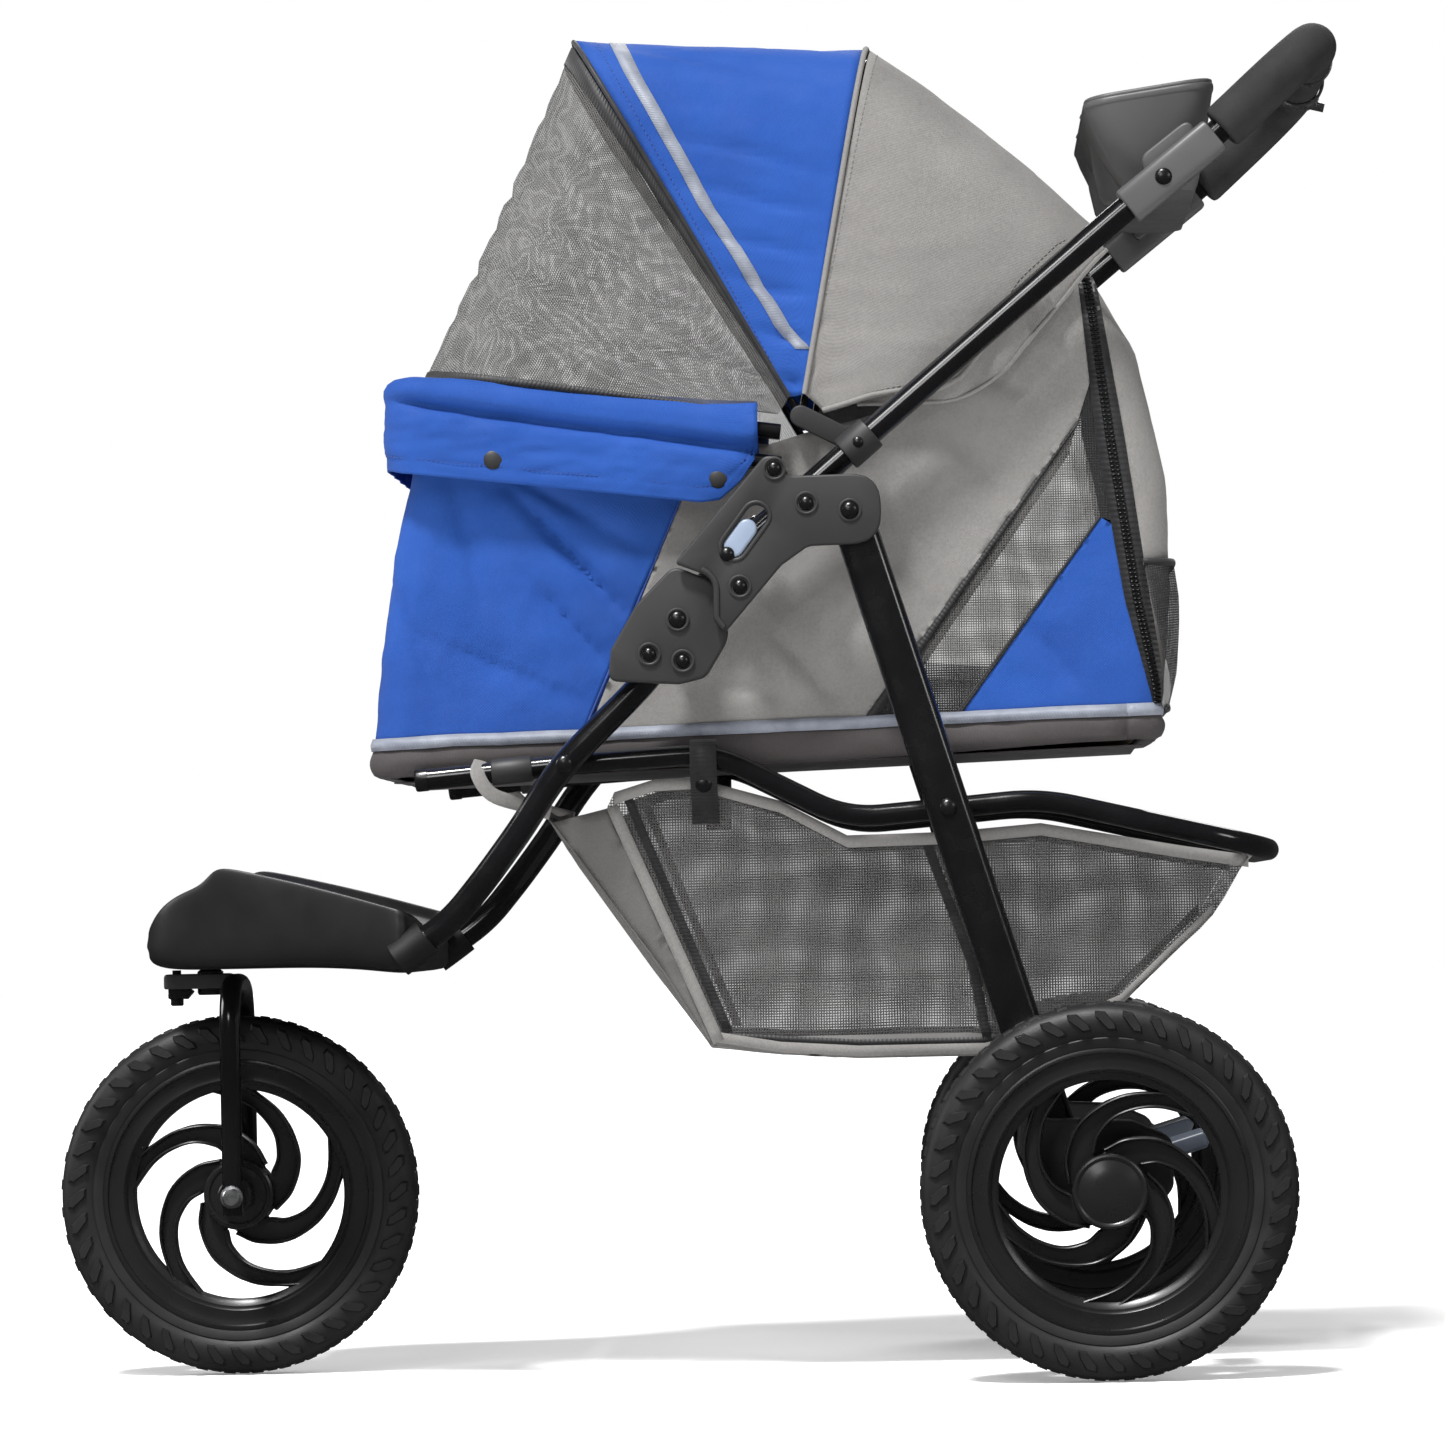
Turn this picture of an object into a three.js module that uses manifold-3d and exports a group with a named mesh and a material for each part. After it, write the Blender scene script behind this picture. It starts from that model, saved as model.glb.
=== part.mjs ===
// Three-wheeled folding pet stroller: steel tube frame, knee-fold hinges, fabric cabin, canopy and basket.
// Units are millimetres. +Z is up, the front wheel points along -X, the stroller's left side is -Y.
// The origin is on the ground under the middle of the object's box.
import * as THREE from 'three';
import { mergeVertices } from 'three/addons/utils/BufferGeometryUtils.js';
import Module from 'manifold-3d';

const manifold = await Module();
manifold.setup();

// ---------------------------------------------------------------- driving dimensions
const GAP = 0.3;

const WHEEL_RADIUS = 137.5;
const TYRE_HALF_WIDTH = 21;
const RIM_RADIUS = 104;
const SPOKE_COUNT = 5;
const WHEEL_SEGMENTS = 28;
const AXLE_Z = WHEEL_RADIUS;
const FRONT_WHEEL_X = -362;
const REAR_WHEEL_X = 299;
const REAR_WHEEL_Y = 262;
const AXLE_RADIUS = 5;

const TUBE_RADIUS = 10;
const HANDLE_TUBE_RADIUS = 9.5;
const RAIL_RADIUS = 8;
const BOW_RADIUS = 3;
const RIM_TUBE_RADIUS = 6;
const FORK_TUBE_RADIUS = 8;
const PIN_RADIUS = 4;

const FRAME_Y = 190;
const RAIL_Y = 170;
const RIM_TUBE_Y = 169;
const FORK_LEG_Y = 55;
const TONGUE_LAYER = [177.4, 179.4];
const LOWER_PLATE_LAYER = [201.5, 217];
const REAR_LEG_LAYER = [203, 219];
const UPPER_PLATE_LAYER = [219.6, 226];

// Pivots of the folding linkage in the XZ plane.
const FOLD_PIVOT = [-7.7, 562];
const LEG_PIVOT = [121.1, 639.3];
const RAIL_PIVOT = [-94.3, 458.1];
const RAIL_BOLT = [188.4, 419.3];
const CANOPY_PIVOT = [85.6, 713];
const PLATE_SPACERS = [[89.7, 644.3], [30.1, 608.9]];

const SWIVEL_X = -382;
const FOOTREST_BOTTOM_Z = 311;
const FORK_CROWN_Z = 299;
const LOCK_X = SWIVEL_X - 26;
const LOCK_RADIUS = 3.5;

const HANDLE_BOTTOM = [25, 604.4];
const HANDLE_BEND = [325, 856];
const HANDLE_UPPER = [393.5, 910];
const HANDLE_TOP = [474.7, 983.8];
const HANDLE_CORNER = 62;
const GRIP_START = [402, 917.7];
const CLAMP_Y = 72;
const CLAMP_WIDTH = 20;
const GRIP_RADIUS = 17.7;
const COLLAR_CENTRE = [128, 690.8];
const CUP_CENTRE_X = 350;
const CUP_MOUTH_Z = 951;
const CUP_DEPTH = 74;
const CUP_Y = 62;

const LATCH_CENTRE = [43.7, 625.5];
const LATCH_ANGLE = THREE.MathUtils.degToRad(52.7);
const LATCH_TRAVEL = 12;

const CABIN_HALF_WIDTH = 156;
const CABIN_WALL = 3;
const BASKET_HALF_WIDTH = 159;
const FABRIC = 3;
const CANOPY_HALF_WIDTH = 175;
const FRONT_BOW_ANGLE = 119.4;
const MID_BOW_ANGLE = 79;
const REAR_EDGE_ANGLE = 32;
const MESH_EDGE_ANGLE = 172.6;
const FRONT_BOW_LENGTH = 337.5;
const MID_BOW_LENGTH = 287;
const REAR_EDGE_LENGTH = 266;
const MESH_EDGE_LENGTH = 289;
const REAR_BULGE = 0.026;

// ---------------------------------------------------------------- materials
const finish = (color, roughness, metalness = 0) => new THREE.MeshStandardMaterial({ color, roughness, metalness });
const MATERIALS = {
  blackTube: finish(0x17181a, 0.32, 0.55),
  blackPlastic: finish(0x26272a, 0.55),
  tyreFoam: finish(0x1d1d1e, 0.78),
  rimPlastic: finish(0x1a1a1c, 0.42),
  steel: finish(0xb4b6b8, 0.3, 1),
  gripFoam: finish(0x222222, 0.92),
  paleGrey: finish(0x9aa4b4, 0.5),
  blueFabric: finish(0x2654be, 0.85),
  greyFabric: finish(0x8b8a87, 0.88),
  darkFabric: finish(0x554f50, 0.9),
  meshFabric: finish(0x5a5a58, 0.85),
  board: finish(0x6b6459, 0.8),
};

// ---------------------------------------------------------------- solid helpers
const vector = (x, y, z) => new THREE.Vector3(x, y, z);

function solidFrom(geometry) {
  const bare = geometry.clone();
  bare.deleteAttribute('normal');
  bare.deleteAttribute('uv');
  const merged = mergeVertices(bare, 1e-4);
  return new manifold.Manifold(new manifold.Mesh({
    numProp: 3,
    vertProperties: new Float32Array(merged.attributes.position.array),
    triVerts: new Uint32Array(merged.index.array),
  }));
}

function geometryFrom(solid) {
  const mesh = solid.getMesh();
  const geometry = new THREE.BufferGeometry();
  geometry.setAttribute('position', new THREE.BufferAttribute(new Float32Array(mesh.vertProperties), 3));
  geometry.setIndex(new THREE.BufferAttribute(new Uint32Array(mesh.triVerts), 1));
  return geometry;
}

const joined = (...solids) => solids.reduce((whole, piece) => whole.add(piece));
const cut = (whole, ...tools) => tools.reduce((rest, tool) => rest.subtract(tool), whole);

// A closed mesh from points and triangles, with its faces turned outward.
function closedSolid(points, triangles) {
  const volume = triangles.reduce((sum, [a, b, c]) => {
    const cross = vector(0, 0, 0).crossVectors(points[b], points[c]);
    return sum + points[a].dot(cross);
  }, 0);
  const outward = volume > 0 ? triangles : triangles.map(([a, b, c]) => [a, c, b]);
  const geometry = new THREE.BufferGeometry();
  geometry.setAttribute('position', new THREE.Float32BufferAttribute(points.flatMap((p) => p.toArray()), 3));
  geometry.setIndex(outward.flat());
  return solidFrom(geometry);
}

const quad = (a, b, c, d) => [[a, b, c], [a, c, d]];

// A solid through closed rings that all have the same number of points.
function loft(rings) {
  const count = rings[0].length;
  const points = rings.flat();
  const triangles = [];
  for (let ring = 0; ring + 1 < rings.length; ring += 1) {
    for (let i = 0; i < count; i += 1) {
      const next = (i + 1) % count;
      const here = ring * count;
      triangles.push(...quad(here + i, here + next, here + count + next, here + count + i));
    }
  }
  const last = (rings.length - 1) * count;
  for (let i = 1; i + 1 < count; i += 1) {
    triangles.push([0, i + 1, i], [last, last + i, last + i + 1]);
  }
  return closedSolid(points, triangles);
}

// A thin closed shell between an outer and an inner grid of points (rows by columns).
function thinShell(outer, inner) {
  const rows = outer.length;
  const columns = outer[0].length;
  const points = [...outer.flat(), ...inner.flat()];
  const at = (layer, row, column) => layer * rows * columns + row * columns + column;
  const triangles = [];
  for (let r = 0; r + 1 < rows; r += 1) {
    for (let c = 0; c + 1 < columns; c += 1) {
      triangles.push(...quad(at(0, r, c), at(0, r, c + 1), at(0, r + 1, c + 1), at(0, r + 1, c)));
      triangles.push(...quad(at(1, r, c), at(1, r + 1, c), at(1, r + 1, c + 1), at(1, r, c + 1)));
    }
  }
  for (let c = 0; c + 1 < columns; c += 1) {
    triangles.push(...quad(at(0, 0, c), at(1, 0, c), at(1, 0, c + 1), at(0, 0, c + 1)));
    const end = rows - 1;
    triangles.push(...quad(at(0, end, c), at(0, end, c + 1), at(1, end, c + 1), at(1, end, c)));
  }
  for (let r = 0; r + 1 < rows; r += 1) {
    triangles.push(...quad(at(0, r, 0), at(0, r + 1, 0), at(1, r + 1, 0), at(1, r, 0)));
    const end = columns - 1;
    triangles.push(...quad(at(0, r, end), at(1, r, end), at(1, r + 1, end), at(0, r + 1, end)));
  }
  return closedSolid(points, triangles);
}

const shapeOf = (points) => new THREE.Shape(points.map(([a, b]) => new THREE.Vector2(a, b)));

// A plate drawn in XZ and thick along Y.
function plateXZ(shape, yLow, yHigh, curveSegments = 6) {
  const geometry = new THREE.ExtrudeGeometry(shape, { depth: yHigh - yLow, bevelEnabled: false, curveSegments });
  geometry.rotateX(Math.PI / 2);
  geometry.translate(0, yHigh, 0);
  return solidFrom(geometry);
}

// A plate drawn in XY and thick along Z.
function plateXY(shape, zLow, zHigh, curveSegments = 6) {
  const geometry = new THREE.ExtrudeGeometry(shape, { depth: zHigh - zLow, bevelEnabled: false, curveSegments });
  geometry.translate(0, 0, zLow);
  return solidFrom(geometry);
}

// A plate drawn in YZ and thick along X.
function plateYZ(shape, xLow, xHigh, curveSegments = 6) {
  const geometry = new THREE.ExtrudeGeometry(shape, { depth: xHigh - xLow, bevelEnabled: false, curveSegments });
  geometry.applyMatrix4(new THREE.Matrix4().makeBasis(vector(0, 1, 0), vector(0, 0, 1), vector(1, 0, 0)));
  geometry.translate(xLow, 0, 0);
  return solidFrom(geometry);
}

const span = (side, inner, outer) => (side > 0 ? [inner, outer] : [-outer, -inner]);
const plateOnSide = (side, shape, [inner, outer], segments) => plateXZ(shape, ...span(side, inner, outer), segments);

function rodY([x, z], radius, yLow, yHigh, segments = 12) {
  const geometry = new THREE.CylinderGeometry(radius, radius, yHigh - yLow, segments);
  geometry.translate(x, (yLow + yHigh) / 2, z);
  return solidFrom(geometry);
}

const rodOnSide = (side, centre, radius, inner, outer, segments) => (
  rodY(centre, radius, ...span(side, inner, outer), segments)
);

function rodZ(x, y, radius, zLow, zHigh, segments = 16) {
  const geometry = new THREE.CylinderGeometry(radius, radius, zHigh - zLow, segments);
  geometry.rotateX(Math.PI / 2);
  geometry.translate(x, y, (zLow + zHigh) / 2);
  return solidFrom(geometry);
}

function block(low, high) {
  const size = high.map((value, i) => value - low[i]);
  const geometry = new THREE.BoxGeometry(...size);
  geometry.translate(...low.map((value, i) => value + size[i] / 2));
  return solidFrom(geometry);
}

// A straight rod between two points.
function rodBetween(start, end, radius, segments = 12) {
  return tube([start, end], radius, segments);
}

// ---------------------------------------------------------------- tubes along bent paths
// A path whose stations are given points, so that straight runs need no steps between bends.
class StationPath extends THREE.Curve {
  constructor(stations) {
    super();
    this.stations = stations;
  }

  getPoint(t) {
    const place = t * (this.stations.length - 1);
    const index = Math.min(Math.floor(place), this.stations.length - 2);
    return this.stations[index].clone().lerp(this.stations[index + 1], place - index);
  }

  getPointAt(u) {
    return this.getPoint(u);
  }

  getTangentAt(u) {
    const last = this.stations.length - 1;
    const index = Math.round(u * last);
    const here = this.stations[index];
    const before = here.clone().sub(this.stations[Math.max(index - 1, 0)]).normalize();
    const after = this.stations[Math.min(index + 1, last)].clone().sub(here).normalize();
    return before.add(after).normalize();
  }
}

// Rounds the inner corners of a polyline; reach is how far along each leg a bend starts.
function bentPath(corners, reach, steps = 4) {
  const reachAt = (i) => (Array.isArray(reach) ? reach[i - 1] : reach);
  const stations = [corners[0]];
  for (let i = 1; i + 1 < corners.length; i += 1) {
    const corner = corners[i];
    const toward = (other) => corner.clone().add(other.clone().sub(corner).setLength(reachAt(i)));
    const bend = new THREE.QuadraticBezierCurve3(toward(corners[i - 1]), corner, toward(corners[i + 1]));
    stations.push(...bend.getPoints(steps));
  }
  stations.push(corners[corners.length - 1]);
  return stations;
}

function tube(stations, radius, sides = 12) {
  const circle = new THREE.Shape().absarc(0, 0, radius, 0, Math.PI * 2);
  const geometry = new THREE.ExtrudeGeometry(circle, {
    steps: stations.length - 1,
    extrudePath: new StationPath(stations),
    curveSegments: sides / 2,
    bevelEnabled: false,
  });
  return solidFrom(geometry);
}

const onPlane = (y) => ([x, z]) => vector(x, y, z);

function capsule([xa, za], [xb, zb], radius) {
  const angle = Math.atan2(zb - za, xb - xa);
  const shape = new THREE.Shape();
  shape.absarc(xb, zb, radius, angle - Math.PI / 2, angle + Math.PI / 2);
  shape.absarc(xa, za, radius, angle + Math.PI / 2, angle + Math.PI * 1.5);
  return shape;
}

const disc = ([x, z], radius) => new THREE.Shape().absarc(x, z, radius, 0, Math.PI * 2);

// A pin along Y with a low head at its outer end.
function headedPin(side, centre, [inner, outer], headRadius = 6.5, headHeight = 3) {
  return joined(
    rodOnSide(side, centre, PIN_RADIUS, inner, outer),
    rodOnSide(side, centre, headRadius, outer, outer + headHeight),
  );
}

const pinHole = (centre, radius = PIN_RADIUS) => rodY(centre, radius + GAP, -400, 400);

// ---------------------------------------------------------------- assembly
const stroller = new THREE.Group();

function addPart(name, solid, material) {
  const mesh = new THREE.Mesh(geometryFrom(solid), material);
  mesh.name = name;
  stroller.add(mesh);
}

const SIDES = [['left', -1], ['right', 1]];

// ---------------------------------------------------------------- front frame
const DOWN_TUBE_POINTS = [[-1.8, 572.5], [-29, 524], RAIL_PIVOT, [-131, 407], [-161, 368], [-185, 342], [-222, 316]];

function downTube(side, radius = TUBE_RADIUS) {
  const leans = [190, 190, 190, 189, 187, 186, 184];
  const stations = DOWN_TUBE_POINTS.map(([x, z], i) => vector(x, side * leans[i], z));
  return tube(stations, radius);
}

// One cross-section of the footrest: a rounded rectangle in the plane x.
function footrestRing(x, halfWidth, zLow, zHigh) {
  const corner = Math.min(9, (zHigh - zLow) / 2.2);
  const centres = [
    [halfWidth - corner, zLow + corner, -90],
    [halfWidth - corner, zHigh - corner, 0],
    [corner - halfWidth, zHigh - corner, 90],
    [corner - halfWidth, zLow + corner, 180],
  ];
  return centres.flatMap(([y, z, start]) => [0, 30, 60, 90].map((turn) => {
    const angle = THREE.MathUtils.degToRad(start + turn);
    return vector(x, y + corner * Math.cos(angle), z + corner * Math.sin(angle));
  }));
}

const FOOTREST_SECTIONS = [
  // x, half width, bottom, top
  [-421, 96, 322, 336],
  [-412, 118, 313, 354],
  [-392, 132, 311, 373],
  [-364, 142, 311, 384],
  [-345, 149, 311, 380],
  [-300, 164, 311, 368],
  [-250, 182, 311, 357],
  [-216, 197, 313, 349],
  [-201, 200, 326, 346],
];

function footrest() {
  const tray = loft(FOOTREST_SECTIONS.map((section) => footrestRing(...section)));
  const housingPocket = rodZ(SWIVEL_X, 0, 22 + GAP, 300, 350);
  const sockets = SIDES.map(([, side]) => downTube(side, TUBE_RADIUS + 0.8));
  return cut(tray, housingPocket, ...sockets);
}

function swivelHousing() {
  return cut(rodZ(SWIVEL_X, 0, 22, FOOTREST_BOTTOM_Z + 0.5, 349.7), rodZ(SWIVEL_X, 0, 8.4, 300, 344));
}

// Spring lock for the castor, carried by the fork's lug in front of the stem.
function swivelLockKnob() {
  const stem = rodZ(LOCK_X, 0, LOCK_RADIUS, 290, FOOTREST_BOTTOM_Z - GAP, 12);
  const head = rodZ(LOCK_X, 0, 7, 284, 292.5, 12);
  return joined(stem, head);
}

function lowerPlateShape() {
  const shape = new THREE.Shape();
  shape.moveTo(-57, 541);
  shape.quadraticCurveTo(-58, 520, -43, 517);
  shape.lineTo(-8, 515.5);
  shape.quadraticCurveTo(4, 515, 12, 532);
  shape.absarc(...FOLD_PIVOT, 36, -0.78, 1.75, false);
  shape.lineTo(-57, 541);
  return shape;
}

const outlineHole = (centre, radius = PIN_RADIUS + GAP) => new THREE.Path().absarc(...centre, radius, 0, Math.PI * 2);

function lowerHingePlate(side) {
  const shape = lowerPlateShape();
  shape.holes.push(outlineHole(FOLD_PIVOT));
  return plateOnSide(side, shape, LOWER_PLATE_LAYER);
}

for (const [name, side] of SIDES) {
  const drilled = cut(downTube(side), pinHole(FOLD_PIVOT), pinHole(RAIL_PIVOT));
  addPart(`down_tube_${name}`, drilled, MATERIALS.blackTube);
  addPart(`lower_hinge_plate_${name}`, lowerHingePlate(side), MATERIALS.blackPlastic);
  addPart(`fold_pin_${name}`, headedPin(side, FOLD_PIVOT, [177, 217.3]), MATERIALS.blackTube);
  addPart(`rail_pin_${name}`, headedPin(side, RAIL_PIVOT, [160.6, 200.4]), MATERIALS.blackTube);
}
addPart('footrest', footrest(), MATERIALS.blackPlastic);
addPart('swivel_housing', swivelHousing(), MATERIALS.blackPlastic);
addPart('swivel_lock_knob', swivelLockKnob(), MATERIALS.blackPlastic);

// ---------------------------------------------------------------- fork
function fork() {
  const corners = [
    vector(FRONT_WHEEL_X, -FORK_LEG_Y, AXLE_Z - 12),
    vector(FRONT_WHEEL_X, -FORK_LEG_Y, FORK_CROWN_Z),
    vector(FRONT_WHEEL_X, FORK_LEG_Y, FORK_CROWN_Z),
    vector(FRONT_WHEEL_X, FORK_LEG_Y, AXLE_Z - 12),
  ];
  const arch = tube(bentPath(corners, 36, 4), FORK_TUBE_RADIUS, 10);
  const lug = block([LOCK_X - 10, -12, FORK_CROWN_Z - 4], [FRONT_WHEEL_X + 4, 12, FORK_CROWN_Z + 9]);
  const stem = rodZ(SWIVEL_X, 0, 8, FORK_CROWN_Z, 342);
  const lockHole = rodZ(LOCK_X, 0, LOCK_RADIUS + GAP, 280, 320, 12);
  return cut(joined(arch, lug, stem), pinHole([FRONT_WHEEL_X, AXLE_Z], AXLE_RADIUS), lockHole);
}

function frontAxle() {
  const centre = [FRONT_WHEEL_X, AXLE_Z];
  return joined(
    rodY(centre, AXLE_RADIUS, -68, 68),
    rodY(centre, 9, 63.5, 69.5, 6),
    rodY(centre, 9, -69.5, -63.5, 6),
  );
}

addPart('fork', fork(), MATERIALS.blackTube);
addPart('front_axle', frontAxle(), MATERIALS.steel);

// ---------------------------------------------------------------- wheels
function lathe(profile, [x, y, z], segments = WHEEL_SEGMENTS) {
  const points = profile.map(([radius, across]) => new THREE.Vector2(radius, across));
  const geometry = new THREE.LatheGeometry([...points, points[0]], segments);
  geometry.translate(x, y, z);
  return closedSolid(...pointsAndTriangles(geometry));
}

function pointsAndTriangles(geometry) {
  const bare = geometry.clone();
  bare.deleteAttribute('normal');
  bare.deleteAttribute('uv');
  const merged = mergeVertices(bare, 1e-3);
  const points = Array.from({ length: merged.attributes.position.count }, (_, i) => (
    new THREE.Vector3().fromBufferAttribute(merged.attributes.position, i)
  ));
  const triangles = [];
  for (let i = 0; i < merged.index.count; i += 3) {
    const [a, b, c] = [0, 1, 2].map((k) => merged.index.getX(i + k));
    if (a !== b && b !== c && c !== a) {
      triangles.push([a, b, c]);
    }
  }
  return [points, triangles];
}

function tyre(centre) {
  const bore = RIM_RADIUS + GAP;
  return lathe([
    [bore, -19], [121, -TYRE_HALF_WIDTH], [132, -17.5], [WHEEL_RADIUS, -9],
    [WHEEL_RADIUS, 9], [132, 17.5], [121, TYRE_HALF_WIDTH], [bore, 19],
  ], centre);
}

// One swirl spoke from the hub to the rim, drawn in XZ about the wheel's centre.
function spokeShape(turn, swirl, [x, z]) {
  const [hub, rim] = [20, 84];
  const steps = 4;
  const edge = (lead) => Array.from({ length: steps + 1 }, (_, i) => {
    const along = i / steps;
    const radius = hub + (rim - hub) * along;
    const angle = turn + swirl * along * 1.05 + lead * (0.5 - 0.22 * along);
    return [x + radius * Math.cos(angle), z + radius * Math.sin(angle)];
  });
  return shapeOf([...edge(-0.62), ...edge(0.62).reverse()]);
}

function rim([x, y, z], swirl, hubInner, hubOuter) {
  const ring = lathe([
    [RIM_RADIUS, -18], [RIM_RADIUS, 18], [88, 18], [80, 11], [80, -11], [88, -18],
  ], [x, y, z]);
  const spokes = Array.from({ length: SPOKE_COUNT }, (_, i) => (
    plateXZ(spokeShape((i * 2 * Math.PI) / SPOKE_COUNT, swirl, [x, z]), y - 7, y + 7)
  ));
  const hub = joined(
    rodY([x, z], 27, y - 17, y + 17, 16),
    rodY([x, z], 13, Math.min(y + hubInner, y + hubOuter), Math.max(y + hubInner, y + hubOuter), 12),
  );
  return cut(joined(ring, hub, ...spokes), rodY([x, z], AXLE_RADIUS + GAP, y - 60, y + 60));
}

function hubCap(side) {
  const [low, high] = span(side, REAR_WHEEL_Y + 17.4, REAR_WHEEL_Y + 24);
  const centre = [REAR_WHEEL_X, AXLE_Z];
  const flange = rodY(centre, 27, low, high, 16);
  const bore = rodOnSide(side, centre, AXLE_RADIUS + GAP, REAR_WHEEL_Y, REAR_WHEEL_Y + 21, 12);
  return cut(flange, bore);
}

const FRONT_CENTRE = [FRONT_WHEEL_X, 0, AXLE_Z];
addPart('front_tyre', tyre(FRONT_CENTRE), MATERIALS.tyreFoam);
addPart('front_rim', rim(FRONT_CENTRE, 1, -45, 45), MATERIALS.rimPlastic);
for (const [name, side] of SIDES) {
  const centre = [REAR_WHEEL_X, side * REAR_WHEEL_Y, AXLE_Z];
  addPart(`rear_tyre_${name}`, tyre(centre), MATERIALS.tyreFoam);
  addPart(`rear_rim_${name}`, rim(centre, -1, side * -23, side * 17), MATERIALS.rimPlastic);
  addPart(`hub_cap_${name}`, hubCap(side), MATERIALS.rimPlastic);
}

// ---------------------------------------------------------------- rear frame
const LEG_DIRECTION = new THREE.Vector2(RAIL_BOLT[0] - LEG_PIVOT[0], RAIL_BOLT[1] - LEG_PIVOT[1]).normalize();
const LEG_LENGTH = 508;
const LEG_HALF_DEPTH = 16;
const LEG_END = [LEG_PIVOT[0] + LEG_DIRECTION.x * LEG_LENGTH, LEG_PIVOT[1] + LEG_DIRECTION.y * LEG_LENGTH];
const BRAKE_SHAFT = [334, 160];

// Flat-oval leg: straight sides in XZ, with its long edges rounded by chamfers.
function rearLeg(side, extra = 0) {
  const [inner, outer] = REAR_LEG_LAYER;
  const body = (depth, from, to) => (
    plateOnSide(side, capsule(LEG_PIVOT, LEG_END, depth + extra), [from - extra, to + extra])
  );
  return joined(body(LEG_HALF_DEPTH, inner + 4, outer - 4), body(LEG_HALF_DEPTH - 4, inner, outer));
}

function axleFoot(side) {
  const shape = shapeOf([[262, 118], [332, 118], [346, 140], [346, 172], [318, 186], [240, 190], [240, 150]]);
  const body = plateOnSide(side, shape, [200.8, 235]);
  return cut(
    body,
    rearLeg(side, GAP),
    pinHole([REAR_WHEEL_X, AXLE_Z], AXLE_RADIUS),
    pinHole(BRAKE_SHAFT, AXLE_RADIUS),
  );
}

function brakeBar() {
  const shaft = rodY(BRAKE_SHAFT, AXLE_RADIUS, -236, 236);
  const pedalShape = shapeOf([[336, 154], [374, 166], [376, 173], [372, 176], [334, 165]]);
  const pedals = SIDES.map(([, side]) => plateOnSide(side, pedalShape, [120, 190]));
  return joined(shaft, ...pedals);
}

const REAR_AXLE_END = 281;
addPart('rear_axle', rodY([REAR_WHEEL_X, AXLE_Z], AXLE_RADIUS, -REAR_AXLE_END, REAR_AXLE_END), MATERIALS.steel);
addPart('brake_bar', brakeBar(), MATERIALS.paleGrey);
for (const [name, side] of SIDES) {
  const leg = cut(
    rearLeg(side),
    pinHole(LEG_PIVOT),
    pinHole(RAIL_BOLT),
    pinHole([REAR_WHEEL_X, AXLE_Z], AXLE_RADIUS),
  );
  addPart(`rear_leg_${name}`, leg, MATERIALS.blackTube);
  addPart(`leg_pin_${name}`, headedPin(side, LEG_PIVOT, [201.8, 226.4]), MATERIALS.blackTube);
  addPart(`rail_bolt_${name}`, headedPin(side, RAIL_BOLT, [200.6, 219.4]), MATERIALS.blackTube);
  addPart(`axle_foot_${name}`, axleFoot(side), MATERIALS.blackPlastic);
}

// ---------------------------------------------------------------- handle
// Stations of the push handle from a start on the left leg, over the crossbar, to the right leg.
function handlePath(start) {
  const leg = start[0] < HANDLE_BEND[0] ? [start, HANDLE_BEND, HANDLE_UPPER] : [start];
  const left = leg.map(onPlane(-FRAME_Y));
  const right = leg.map(onPlane(FRAME_Y)).reverse();
  const top = [onPlane(-FRAME_Y)(HANDLE_TOP), onPlane(FRAME_Y)(HANDLE_TOP)];
  const round = bentPath([left[left.length - 1], ...top, right[0]], HANDLE_CORNER, 4);
  return [...left.slice(0, -1), ...round, ...right.slice(1)];
}

function handleGrip() {
  const bore = tube(handlePath(HANDLE_BOTTOM), HANDLE_TUBE_RADIUS + GAP);
  return cut(tube(handlePath(GRIP_START), GRIP_RADIUS), bore);
}

function upperPlateShape() {
  const shape = new THREE.Shape();
  shape.moveTo(-9, 603);
  shape.lineTo(55, 676.5);
  shape.quadraticCurveTo(63, 683, 70.5, 678);
  shape.quadraticCurveTo(73, 666, 80, 665.5);
  shape.lineTo(112, 666.5);
  shape.absarc(...LEG_PIVOT, 23, 1.35, -1.6, true);
  shape.lineTo(90, 613.6);
  shape.quadraticCurveTo(77, 610, 69.7, 600);
  shape.lineTo(26.8, 550.4);
  shape.quadraticCurveTo(20, 556, 19.5, 564.5);
  shape.quadraticCurveTo(20, 593, -9, 603);
  return shape;
}

function latchCapsule(halfLength, radius, shift) {
  const along = (distance) => [
    LATCH_CENTRE[0] + Math.cos(LATCH_ANGLE) * distance,
    LATCH_CENTRE[1] + Math.sin(LATCH_ANGLE) * distance,
  ];
  return capsule(along(shift - halfLength), along(shift + halfLength), radius);
}

const SLOT_HALF_LENGTH = 14;
const SLOT_RADIUS = 8;

function upperHingePlate(side) {
  const plate = plateOnSide(side, upperPlateShape(), UPPER_PLATE_LAYER);
  const spacers = PLATE_SPACERS.map((centre) => rodOnSide(side, centre, 7, 200.2, UPPER_PLATE_LAYER[1]));
  const slot = plateOnSide(side, latchCapsule(SLOT_HALF_LENGTH, SLOT_RADIUS, 0), [210, 240]);
  return cut(joined(plate, ...spacers), pinHole(LEG_PIVOT), slot);
}

function foldLatch(side) {
  const halfLength = SLOT_HALF_LENGTH - LATCH_TRAVEL / 2;
  return plateOnSide(side, latchCapsule(halfLength, SLOT_RADIUS - GAP, -LATCH_TRAVEL / 2), [219.8, 225]);
}

function foldTongue(side) {
  const plate = plateOnSide(side, capsule(FOLD_PIVOT, [52, 627], 13), TONGUE_LAYER);
  return cut(plate, pinHole(FOLD_PIVOT));
}

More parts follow.
